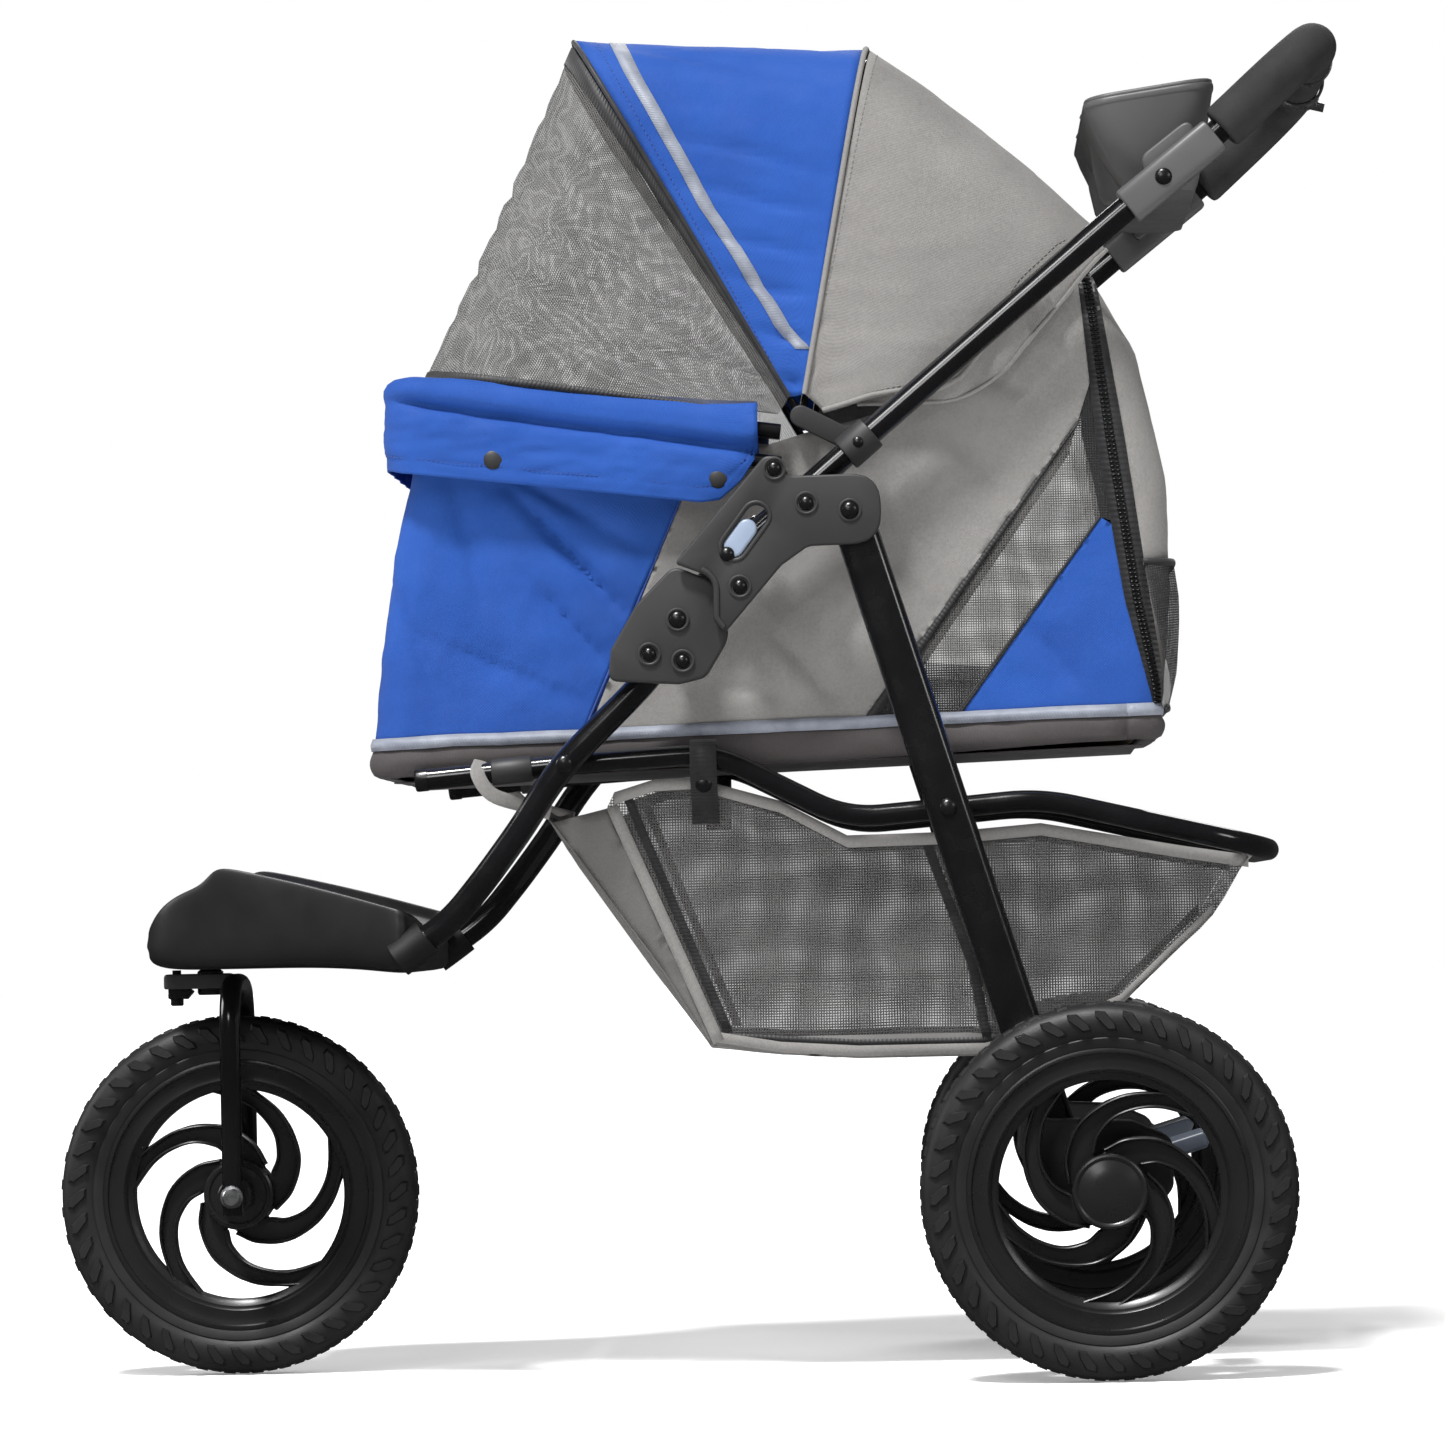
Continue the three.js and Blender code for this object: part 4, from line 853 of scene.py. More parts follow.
def rim_piece(name, body, centre, swirl, hub, node):
    parts = [revolve([(r, y) for r, y in RIM_PROFILE], centre, 144)]
    for i in range(SPOKES):
        turn = 2 * math.pi * i / SPOKES
        parts.append(plate_mesh(spoke_web(centre, turn, swirl), centre[1] - 4.5, centre[1] + 4.5, 1.4))
        for side in (-1, 1):
            ribs = ([(30, -24), (40, 4), (54, 33), (68, 61), (80, 83), (89, 96)], [(30, 32), (42, 44), (56, 62), (70, 84), (84, 106), (89, 112)])
            for stops in ribs:
                line = swirl_line(centre, turn, swirl, stops, centre[1] + side * 4.6)
                parts.append(sweep(line, oval_section(5.2, 1.3, 2.4, 12), Vector((0, 1, 0))))
    hub_profile = [
        (5.4, -hub[0]), (12, -hub[0]), (13, -hub[0] + 1), (13, -17.2), (24.5, -16.8), (26.6, -15.2), (27.2, -12), (27.2, 12),
        (26.6, 15.2), (24.5, 16.8), (13, 17.2), (13, hub[1] - 1), (12, hub[1]), (5.4, hub[1]),
    ]
    parts.append(revolve(hub_profile, centre, 48))
    ring = [(21.4, 16.9), (22.6, 18.1), (24, 18.1), (24.6, 16.6)]
    for side in (-1, 1):
        parts.append(revolve([(r, side * y) for r, y in ring], centre, 48))
    rim = welded(add_mesh(name, *merged("rim", parts), WHEEL_PLASTIC), 0.001, sharp=36)
    place(rim, body, "wheel_plastic", node)


def hub_cap(name, body, centre, side, node):
    profile = [
        (27.4, 17.6), (27.6, 19.4), (26.8, 21), (25.4, 21.6), (24, 21.2), (23, 20.4), (21, 21), (17, 22.5),
        (12, 23.6), (6, 24.1), (0.5, 24.2),
    ]
    points, faces = revolve([(r, side * y) for r, y in profile], centre, 56, closed=False)
    place(welded(add_mesh(name, points, faces, WHEEL_PLASTIC), 0.001, sharp=36), body, "wheel_plastic", node)


def wheels():
    front = (FRONT_WHEEL_X, 0, AXLE_Z)
    tyre_piece("front_tyre.piece", "front_wheel", front, "front_tyre")
    rim_piece("front_rim.piece", "front_wheel", front, 1, (45, 45), "front_rim")
    for name, side in SIDES:
        body = f"rear_wheel_{name}"
        centre = (REAR_WHEEL_X, side * REAR_WHEEL_Y, AXLE_Z)
        hub = (17.4, 23) if side < 0 else (23, 17.4)
        tyre_piece(f"rear_tyre_{name}.piece", body, centre, f"rear_tyre_{name}")
        rim_piece(f"rear_rim_{name}.piece", body, centre, -1, hub, f"rear_rim_{name}")
        hub_cap(f"hub_cap_{name}.piece", body, (REAR_WHEEL_X, side * REAR_WHEEL_Y, AXLE_Z), side, f"hub_cap_{name}")


# ------------------------------------------------------------------ rear frame
LEG_LENGTH = 508
FOOT_OUTLINE = (
    (262, 118, 12), (332, 118, 12), (347, 138, 12), (347, 174, 12), (318, 187, 12), (241, 191, 8), (238, 150, 14),
)
BRAKE_SHAFT = (334, 160)


def leg_end():
    direction = (Vector(RAIL_BOLT) - Vector(LEG_PIVOT)).normalized()
    return tuple(Vector(LEG_PIVOT) + direction * LEG_LENGTH)


def rear_frame():
    for name, side in SIDES:
        outline = refined(capsule(LEG_PIVOT, leg_end(), 16), 60)
        span = sorted((side * 203, side * 219))
        leg = welded(add_mesh(f"rear_leg_{name}.piece", *plate_mesh(outline, *span, 7.4, (), 7), LEG_COATING), sharp=50)
        place(leg, "rear_frame", "black_tube", f"rear_leg_{name}")
        foot_span = sorted((side * 200.8, side * 234.6))
        foot = plate(f"axle_foot_{name}.piece", rounded_outline(FOOT_OUTLINE, 8), *foot_span, BLACK_PLASTIC, 4)
        place(foot, "rear_frame", "black_plastic", f"axle_foot_{name}")
        boss = revolve([(r, side * y) for r, y in ((0.5, 234), (15, 234), (16, 235), (15, 237), (0.5, 237))],
                       (REAR_WHEEL_X, 0, AXLE_Z), 40, closed=False)
        place(add_mesh(f"axle_boss_{name}", *boss, BLACK_PLASTIC, sharp=40), "rear_frame", "black_plastic")
        headed_pin(f"leg_pin_{name}.piece", "handle", LEG_PIVOT, 204.5, 226.2, side, [f"leg_pin_{name}"])
        headed_pin(f"rail_bolt_{name}.piece", "rear_frame", RAIL_BOLT, 203, 219.2, side, [f"rail_bolt_{name}"])
    axle = [Vector((REAR_WHEEL_X, y, AXLE_Z)) for y in (-280.5, 280.5)]
    add_tube("rear_axle.piece", "rear_frame", axle, 5, STEEL, "bright_steel", ["rear_axle"])
    brake_bar()


def brake_bar():
    x, z = BRAKE_SHAFT
    shaft = sweep([Vector((x, -236, z)), Vector((x, 236, z))], ring_section(5, 24))
    pedal = rounded_outline([(337, 153, 2), (374, 165, 3), (377, 173, 3), (371, 177, 3), (334, 166, 3)], 5)
    parts = [shaft, *[plate_mesh(pedal, *sorted((side * 120, side * 190)), 2.5) for _, side in SIDES]]
    for _, side in SIDES:
        for k in range(5):
            line = [Vector((352 + k * 4.4, side * y, 166 + k * 1.6 + 5)) for y in (128, 182)]
            parts.append(sweep(line, ring_section(0.9, 8)))
    bar = welded(add_mesh("brake_bar.piece", *merged("bar", parts), PEDAL_PLASTIC), sharp=50)
    place(bar, "brake", "pale_grey", "brake_bar")


# ------------------------------------------------------------------ handle
GRIP_START = (402.0, 917.7)
GRIP_RADIUS = 17.7
CLAMP_Y = 72


def handle_path(start):
    leg = [start, HANDLE_BEND, HANDLE_UPPER] if start[0] < HANDLE_BEND[0] else [start]
    corners = on_plane([*leg, HANDLE_TOP], -FRAME_Y) + on_plane([*leg, HANDLE_TOP][::-1], FRAME_Y)
    reaches = [30, 30, 62, 62, 30, 30] if len(leg) == 3 else [62, 62]
    return bent(corners, reaches, 10)


def tapered(stations, section, scales, reference=Vector((0, 1, 0))):
    """A sweep whose section is scaled at each station."""
    points, faces = sweep(stations, section, reference)
    size = len(section)
    for i, scale in enumerate(scales):
        for k in range(size):
            centre = stations[i]
            points[i * size + k] = centre + (points[i * size + k] - centre) * scale
    return points, faces


def handle():
    add_tube("handle_tube.piece", "handle", handle_path(HANDLE_BOTTOM), 9.5, BLACK_TUBE, "black_tube", ["handle_tube"], 28)
    path = handle_path(GRIP_START)
    along = (path[1] - path[0]).normalized()
    stations = [path[0] + along * d for d in (0, 0.6, 2.4, 5)] + path[1:-1]
    stations += [path[-1] + (path[-2] - path[-1]).normalized() * d for d in (5, 2.4, 0.6, 0)]
    scales = [0.86, 0.93, 0.98] + [1.0] * (len(stations) - 6) + [0.98, 0.93, 0.86]
    grip = add_mesh("handle_grip.piece", *tapered(stations, ring_section(GRIP_RADIUS, 36), scales), GRIP_FOAM, sharp=60)
    place(grip, "handle", "grip_foam", "handle_grip")
    wrist_clamp()
    for name, side in SIDES:
        upper_plate(name, side)
        handle_collar(name, side)


def wrist_clamp():
    """A worm-drive band round the foam, with its screw housing behind, and a plain wire ring beside it."""
    centre = (HANDLE_TOP[0], 0, HANDLE_TOP[1])
    band = [(18.2, 62.4), (18.2, 81.6), (19.2, 82), (20.0, 81.2), (20.0, 62.8), (19.2, 62)]
    parts = [revolve(band, centre, 72)]
    for y in (66, 78):
        parts.append(revolve([(20.0, y - 1), (20.5, y), (20.0, y + 1), (19.6, y)], centre, 72))
    x, z = HANDLE_TOP
    block = rounded_outline([(x + 4, z - 18, 1.5), (x + 17, z - 12.5, 1.5), (x + 14, z - 18.5, 2), (x + 7, z - 22, 2)], 4)
    parts.append(plate_mesh(block, CLAMP_Y - 8, CLAMP_Y + 8, 1))
    screw = [Vector((x + 10, CLAMP_Y, z - 18)), Vector((x + 20, CLAMP_Y, z - 20.5))]
    parts.append(sweep(screw, ring_section(3.6, 20), Vector((0, 1, 0))))
    clamp = welded(add_mesh("wrist_clamp.piece", *merged("clamp", parts), STEEL), 0.001, sharp=40)
    place(clamp, "handle", "bright_steel", "wrist_clamp")
    wire = [Vector((x + 18.4 * math.cos(a), -55, z + 18.4 * math.sin(a))) for a in np.linspace(0, 2 * math.pi, 60)]
    place(add_mesh("grip_wire_ring", *sweep(wire, ring_section(1.1, 12)), STEEL, sharp=60), "handle", "bright_steel")


UPPER_PLATE = (
    (-9, 603, 3), (59, 681, 9), (71, 680, 6), (76, 665.5, 7), (144, 666.5, 23), (144, 614.5, 23), (90, 613.6, 14),
    (70, 600, 10), (26.8, 550.4, 4), (19, 561, 8), (19.5, 592, 15),
)
UPPER_RIVETS = ((66.2, 671.1), (89.2, 645.3), (39.0, 584.9))
LOWER_RIVETS = ((-29.2, 537.0), (-4.5, 531.4))
PLATE_SPACERS = ((89.7, 644.3), (30.1, 608.9))
LATCH_CENTRE = (43.7, 625.5)
LATCH_ANGLE = math.radians(52.7)


def latch_capsule(half_length, radius, shift):
    ends = [
        (LATCH_CENTRE[0] + math.cos(LATCH_ANGLE) * d, LATCH_CENTRE[1] + math.sin(LATCH_ANGLE) * d)
        for d in (shift - half_length, shift + half_length)
    ]
    return capsule(*ends, radius)


def raised_lip(outline, y, side):
    """A rounded ridge along the plate's curved lower edge."""
    line = [p for p in inset(outline, 2.6) if p[0] < 27 and 551 < p[1] < 600]
    stations = [Vector((x, y, z)) for x, z in line]
    return sweep(stations, oval_section(2.2, 2.4, 2.2, 14), Vector((0, side, 0)))


def recess_rings(centres, y, side):
    """The moulded ring round each rivet."""
    profile = ((6.2, 0), (8.6, 0.3), (8.6, 1.5), (7.6, 2.0), (6.6, 1.4))
    return merged("rings", [revolve([(r, y + side * out) for r, out in profile], (x, 0, z), 36) for x, z in centres])


def upper_plate(name, side):
    outline = rounded_outline(UPPER_PLATE, 8)
    slot = refined(latch_capsule(14, 8, 0), 8)
    span = sorted((side * 219.6, side * 225.4))
    body = plate_mesh(outline, *span, 1.8, [slot])
    lip = raised_lip(outline, side * 225.2, side)
    slot_rim = [Vector((x, side * 225.2, z)) for x, z in inset(slot, -2.2)]
    rim = sweep([*slot_rim, slot_rim[0]], oval_section(1.2, 1.6, 2.2, 12), Vector((0, side, 0)))
    spacers = [
        revolve([(r, side * y) for r, y in ((0.5, 201), (7, 201), (7, 220), (0.5, 220))], (x, 0, z), 28, closed=False)
        for x, z in PLATE_SPACERS
    ]
    plate_piece = welded(
        add_mesh(f"upper_hinge_plate_{name}.piece", *merged("plate", [body, lip, rim, *spacers]), BLACK_PLASTIC), 0.001, 50,
    )
    place(plate_piece, "handle", "black_plastic", f"upper_hinge_plate_{name}")
    heads = rivets(f"plate_rivets_{name}", [*UPPER_RIVETS, PLATE_SPACERS[1]], side * 225, side, GLOSSY_PLASTIC, 5.6, 3.8)
    place(heads, "handle", "black_tube")
    rings = recess_rings([*UPPER_RIVETS, LEG_PIVOT], side * 225, side)
    place(add_mesh(f"rivet_rings_{name}", *rings, BLACK_PLASTIC, sharp=60), "handle", "black_plastic")
    rings = recess_rings([*LOWER_RIVETS, FOLD_PIVOT], side * 216.4, side)
    place(add_mesh(f"lower_rivet_rings_{name}", *rings, BLACK_PLASTIC, sharp=60), "front_frame", "black_plastic")
    slider = plate(f"fold_latch_{name}.piece", refined(latch_capsule(8, 7.6, -6), 8), *sorted((side * 220, side * 225.6)), PALE_GREY, 2.4)
    place(slider, f"latch_{name}", "pale_grey", f"fold_latch_{name}")
    tongue_span = sorted((side * 177.4, side * 179.4))
    tongue = plate(f"fold_tongue_{name}.piece", refined(capsule(FOLD_PIVOT, (52, 627), 13), 20), *tongue_span, BLACK_TUBE, 0.6)
    place(tongue, "handle", "black_tube", f"fold_tongue_{name}")
    lower_heads = rivets(f"lower_plate_rivets_{name}", LOWER_RIVETS, side * 216.4, side, GLOSSY_PLASTIC, 5.2, 3.4)
    place(lower_heads, "front_frame", "black_tube")


def handle_collar(name, side):
    along = (Vector(HANDLE_BEND) - Vector(HANDLE_BOTTOM)).normalized()
    stations = [
        Vector((COLLAR_CENTRE[0] + along.x * d, side * FRAME_Y, COLLAR_CENTRE[1] + along.y * d))
        for d in (-13, -12.4, -10.5, 10.5, 12.4, 13)
    ]
    sleeve = tapered(stations, ring_section(13.5, 32), [0.9, 0.97, 1, 1, 0.97, 0.9])
    ear = plate_mesh(refined(capsule(COLLAR_CENTRE, CANOPY_PIVOT, 8), 12), *sorted((side * 176.6, side * 180.6)), 1.2)
    pivot = revolve([(r, side * y) for r, y in ((0.4, 157), (3, 157), (3, 177), (0.4, 177))], (CANOPY_PIVOT[0], 0, CANOPY_PIVOT[1]), 20, closed=False)
    obj = welded(add_mesh(f"handle_collar_{name}.piece", *merged("collar", [sleeve, ear, pivot]), BLACK_PLASTIC), 0.001, 45)
    place(obj, "handle", "black_plastic", f"handle_collar_{name}")
    head = rivets(f"collar_screw_{name}", [COLLAR_CENTRE], side * 202.4, side, GLOSSY_PLASTIC, 4.4, 2.4)
    place(head, "handle", "black_tube")


# ------------------------------------------------------------------ cup tray
CUP_X = 350
CUP_MOUTH_Z = 951
CUP_Y = 62
TRAY_Y = 171
TRAY_RAKE = 0.14


def lying(part):
    """Turns a plate drawn in XZ so that its outline lies in XY."""
    points, faces = part
    return [(x, z, y) for x, y, z in points], faces


def cup_wall(y):
    outer = [(48.5, 949.5), (49.4, 951.2), (48.6, 953), (46.6, 953.4), (44.4, 952)]
    inner = [(42.6, 948), (40.4, 930), (37.4, 905), (33.8, 886), (31, 880.6), (26, 879.6), (0.5, 879.4)]
    below = [(0.5, 876.6), (27, 876.8), (32.6, 878.4), (36, 884), (40, 904), (43, 930), (45.4, 944), (47, 946)]
    return revolve(outer + inner + below, (CUP_X, y, 0), 72, closed=False, axis="z")


TRAY_SKIRT = (
    (948.5, 48.4, 350.0, 0.2), (944.0, 48.0, 350.0, 0.6), (934.0, 45.6, 350.6, 2.0), (918.0, 41.0, 352.5, 4.0),
    (900.0, 34.5, 355.5, 7.0), (884.0, 28.0, 358.5, 12.0), (877.5, 24.0, 360.0, 17.0), (876.6, 16.0, 360.0, 26.0),
)


def tray_skirt():
    """The bowl's smooth outer wall: rows of (height, half-length, middle, how far its ends draw in)."""
    rings = []
    for z, half, middle, drawn in TRAY_SKIRT:
        corner = min(26, half - 2)
        x_low, x_high, y_end = middle - half, middle + half, TRAY_Y - drawn
        corners = [(x_low, -y_end, corner), (x_high, -y_end, corner), (x_high, y_end, corner), (x_low, y_end, corner)]
        rings.append([Vector((x, y, z)) for x, y in rounded_outline(corners, 8)])
    return loft_mesh(rings)


def cup_tray():
    outline = rounded_outline([(301, -TRAY_Y, 26), (399, -TRAY_Y, 26), (399, TRAY_Y, 26), (301, TRAY_Y, 26)], 8)
    outline = refined(outline, 20)
    mouths = [circle((CUP_X, y), 45.4, 56) for y in (-CUP_Y, CUP_Y)]
    parts = [lying(plate_mesh(outline, CUP_MOUTH_Z - 7, CUP_MOUTH_Z, 2.4, mouths))]
    rolled = inset(outline, 3.4)
    edge = [Vector((x, y, CUP_MOUTH_Z + 0.4)) for x, y in rolled]
    parts.append(sweep([*edge, edge[0]], oval_section(2.2, 2.6, 2.2, 14), Vector((0, 0, 1))))
    parts += [cup_wall(y) for y in (-CUP_Y, CUP_Y)]
    parts.append(tray_skirt())
    for _, side in SIDES:
        bridge = rounded_outline([(350, 872, 4), (386, 900, 4), (380, 926, 8), (342, 900, 8)], 5)
        parts.append(plate_mesh(bridge, *sorted((side * 166, side * 184)), 2))
    points, faces = merged("tray", parts)
    raked = [(x, y, z + TRAY_RAKE * (x - CUP_X) * min(1, max(0, (z - 876) / 75))) for x, y, z in points]
    # The tray's plastic carries a painted highlight in its colour.
    tray = welded(add_mesh("cup_tray.piece", raked, faces, TRAY_PLASTIC_PAINTED_HIGHLIGHT), 0.001, 42)
    place(tray, "handle", "black_plastic", "cup_tray")
    for name, side in SIDES:
        start, end = Vector((331, side * FRAME_Y, 860.7)), Vector((397, side * FRAME_Y, 912.7))
        stations = [start.lerp(end, t) for t in (0, 0.008, 0.03, 0.97, 0.992, 1)]
        sleeve = tapered(stations, oval_section(13, 14, 5, 40), [0.88, 0.96, 1, 1, 0.96, 0.88])
        place(add_mesh(f"tray_sleeve_{name}", *sleeve, TRAY_PLASTIC_PAINTED_HIGHLIGHT, sharp=40), "handle", "black_plastic")
        button = rivets(f"tray_button_{name}", [(358, 882)], side * 202.6, side, GLOSSY_PLASTIC, 6.5, 3)
        place(button, "handle", "black_plastic")


# ------------------------------------------------------------------ cradle frame and rim tubes
RAIL_POINTS = ((-204, 449), RAIL_PIVOT, (15, 464), (113, 413.5), RAIL_BOLT, (257, 425), (428, 384))
CABIN_HALF = 156
FLOOR_SLOPE = (466 - 449) / (345 + 244)


def rim_height(x):
    return 701 + (78 - x) * 0.141


def cradle_frame():
    corners = on_plane(RAIL_POINTS, -RAIL_Y) + on_plane(RAIL_POINTS[::-1], RAIL_Y)
    reaches = [10, 26, 26, 10, 26]
    stations = bent(corners, [*reaches, 62, 62, *reaches[::-1]], 8)
    add_tube("basket_rail.piece", "cradle", stations, 8, BLACK_TUBE, "black_tube", ["basket_rail"])
    front = [Vector((-170, y, 437.8)) for y in (-178, 178)]
    add_tube("floor_bar_front.piece", "cradle", front, 5, BLACK_TUBE, "black_tube", ["floor_bar_front"], 18)
    x, top = RAIL_BOLT[0], RAIL_BOLT[1] + 9
    arch = [Vector((x, y, z)) for y, z in ((-RAIL_Y, top), (-RAIL_Y, 453.5), (RAIL_Y, 453.5), (RAIL_Y, top))]
    add_tube("floor_bar_rear.piece", "cradle", bent(arch, 14, 6), 5, BLACK_TUBE, "black_tube", ["floor_bar_rear"], 18)
    for node, drop in (("rim_upper_tube", 0), ("rim_lower_tube", 24)):
        corners = [
            Vector((x, y, rim_height(x) - drop))
            for x, y in ((70, -RIM_TUBE_Y), (-211, -RIM_TUBE_Y), (-211, RIM_TUBE_Y), (70, RIM_TUBE_Y))
        ]
        add_tube(f"{node}.piece", "rim", bent(corners, 24, 10), 6, BLACK_TUBE, "black_tube", [node], 20)


# ------------------------------------------------------------------ cloth helpers
def line_x(line, z):
    """x on a polyline of (x, z) points at height z."""
    ordered = sorted(line, key=lambda p: p[1])
    return float(np.interp(z, [p[1] for p in ordered], [p[0] for p in ordered]))


def rumple(x, y, z, size, depth):
    """Smooth, repeatable unevenness in millimetres."""
    place_in = Vector((x / size, y / size, z / size))
    return depth * (noise.noise(place_in) + 0.45 * noise.noise(place_in * 2.3 + Vector((7.1, 3.3, 1.7))))


def crease(x, z, folds):
    """Depth of the named folds at (x, z): each is (start, end, width, depth) and fades at its ends."""
    total = 0.0
    here = Vector((x, z))
    for start, end, width, depth in folds:
        a, b = Vector(start), Vector(end)
        along = (b - a)
        t = max(0.0, min(1.0, (here - a).dot(along) / along.length_squared))
        away = (here - (a + along * t)).dot(Vector((-along.y, along.x)).normalized())
        gap = (here - (a + along * t)).length
        profile = math.exp(-((gap / width) ** 2)) * (1 if away < 0 else 0.55)
        total += 2.5 * depth * profile * math.sin(math.pi * min(1.0, max(0.06, t)) ** 0.8)
    return total


def grid_mesh(name, rows, material, closed=False):
    """A sheet from rows of points, with a UV map in metres measured along it."""
    array = np.array([[tuple(p) for p in row] for row in rows], float)
    height, width = array.shape[:2]
    across = np.zeros((height, width))
    across[:, 1:] = np.cumsum(np.linalg.norm(np.diff(array, axis=1), axis=2), axis=1)
    along = np.zeros((height, width))
    along[1:] = np.cumsum(np.linalg.norm(np.diff(array, axis=0), axis=2), axis=0)
    across -= across[:, width // 2:width // 2 + 1]
    uvs = np.stack([across, along], axis=2).reshape(-1, 2) * MM
    faces = [
        [r * width + c, r * width + c + 1, (r + 1) * width + c + 1, (r + 1) * width + c]
        for r in range(height - 1) for c in range(width - 1)
    ]
    return add_mesh(name, array.reshape(-1, 3), faces, material, uvs)


def thickened(obj, thickness=1.0, offset=0.0):
    """Gives a sheet its cloth's thickness."""
    modifier = obj.modifiers.new("cloth", "SOLIDIFY")
    modifier.thickness = thickness * MM
    modifier.offset = offset
    graph = bpy.context.evaluated_depsgraph_get()
    mesh = bpy.data.meshes.new_from_object(obj.evaluated_get(graph))
    obj.modifiers.clear()
    obj.data = mesh
    return obj


def cloth(obj, body, slot, nodes, flat, thickness=1.0, offset=0.0):
    """Gives a sheet its cloth's thickness, then rides it on its body and hides the CAD nodes it stands for, or only
    hides them when there is no body. flat, the cut's width and length in metres, is not used.
    """
    if thickness:
        thickened(obj, thickness, offset)
    if body:
        place(obj, body, slot, *nodes)
    else:
        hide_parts(*nodes)
    return obj


def patch(name, outline, surface, material, spacing=7.0):
    """A piece of cloth cut to an outline in XZ and laid on surface(x, z) -> (x, y, z)."""
    flat, triangles = fill(outline, (), spacing)
    points = [surface(x, z) for x, z in flat]
    return add_mesh(name, points, triangles.tolist(), material, flat * MM)


def seam(name, points, body, material, radius=1.3, slot="grey_fabric", flatness=1.0, reference=Vector((0, 1, 0))):
    """A piped seam or a bound edge along points."""
    stations = [Vector(p) for p in points]
    section = oval_section(radius * flatness, radius, 2, 10)
    return place(add_mesh(name, *sweep(stations, section, reference), material, sharp=60), body, slot)


def band(name, lower, upper, body, material, slot, thickness=0.8, lift=0.0):
    """A strip of tape between two lists of points."""
    obj = grid_mesh(name, [lower, upper], material)
    thickened(obj, thickness, lift)
    return place(obj, body, slot)


def stitches(name, points, body, material, slot, pitch=3.6, length=2.3, radius=0.32):
    """A row of stitches along points."""
    stations = [Vector(p) for p in points]
    parts, carried = [], 0.0
    for a, b in zip(stations, stations[1:]):
        span = (b - a).length
        direction = (b - a).normalized() if span > 1e-6 else Vector((1, 0, 0))
        while carried < span:
            start = a + direction * carried
            side = direction.orthogonal()
            parts.append(sweep([start, start + direction * length], ring_section(radius, 5), side))
            carried += pitch
        carried -= span
    return place(add_mesh(name, *merged("stitches", parts), material), body, slot)


# ------------------------------------------------------------------ canopy
CANOPY_HALF = 175
FRONT_BOW = (119.4, 337.5)
MID_BOW = (79.0, 287.0)
REAR_EDGE = (32.0, 266.0)
REAR_BULGE = 0.026
MESH_EDGE = (172.6, 289.0)
ARCH_BASE = 17


def arch_columns(half, base, length, reach=84, straight=44, corner=14, top=12):
    """(y, distance from the pivot) down one side, round the corners, over the top and down again."""
    side = [(-half, base + (length - reach - base) * i / straight) for i in range(straight)]
    bend = []
    for i in range(corner):
        t = i / corner
        y = -half * (1 - t) ** 2 + (4 - half) * 2 * t * (1 - t) + (reach - half) * t**2
        u = (length - reach) * (1 - t) ** 2 + length * 2 * t * (1 - t) + length * t**2
        bend.append((y, u))
    crown = []
    for i in range(top + 1):
        y = (reach - half) * (1 - i / top)
        crown.append((y, length + 5 * (1 - (y / (half - reach)) ** 2)))
    first = side + bend + crown
    return first + [(-y, u) for y, u in first[-2::-1]]


def arch_point(degrees, y, u):
    a = math.radians(degrees)
    return Vector((CANOPY_PIVOT[0] + u * math.cos(a), y, CANOPY_PIVOT[1] + u * math.sin(a)))


def arch(angle, length, half, base=ARCH_BASE):
    return [arch_point(angle, y, u) for y, u in arch_columns(half, base, length)]


def bow(name, body, angle, length, half, node):
    """A round steel bow with a flat hub at each end."""
    columns = arch_columns(half, 4, length - 9, 76)
    parts = [sweep([arch_point(angle, y, u) for y, u in columns], ring_section(3, 16), Vector((1, 0, 0)))]
    centre = (CANOPY_PIVOT[0], 0, CANOPY_PIVOT[1])
    for _, side in SIDES:
        hub = [(3.4, half - 2.8), (6.4, half - 2.8), (7, half - 2), (7, half + 2), (6.4, half + 2.8), (3.4, half + 2.8)]
        parts.append(revolve([(r, side * y) for r, y in hub], centre, 28))
    place(welded(add_mesh(name, *merged("bow", parts), BLACK_TUBE), 0.001, 45), body, "black_tube", node)


def stretched(start, end, rows, ripple=1.0, half=CANOPY_HALF - 1.4, sag=0.0):
    """Rows of points between two arches, pulled straight with light tension ripples."""
    first, last = arch(*start, half), arch(*end, half)
    surface = []
    for i in range(rows + 1):
        t = i / rows
        row = []
        for a, b in zip(first, last):
            p = a.lerp(b, t)
            fade = math.sin(math.pi * t)
            inward = (Vector((CANOPY_PIVOT[0], 0, CANOPY_PIVOT[1])) - p).normalized()
            creased = fade * 4.2 * max(0.0, math.sin(p.z / 5.2 + p.x / 21 + 1.3 * rumple(p.x, p.y, p.z, 90, 1))) ** 3
            row.append(p + inward * (fade * (sag + ripple + rumple(p.x, p.y, p.z * 2.6, 46, ripple)) + ripple * creased))
        surface.append(row)
    return surface


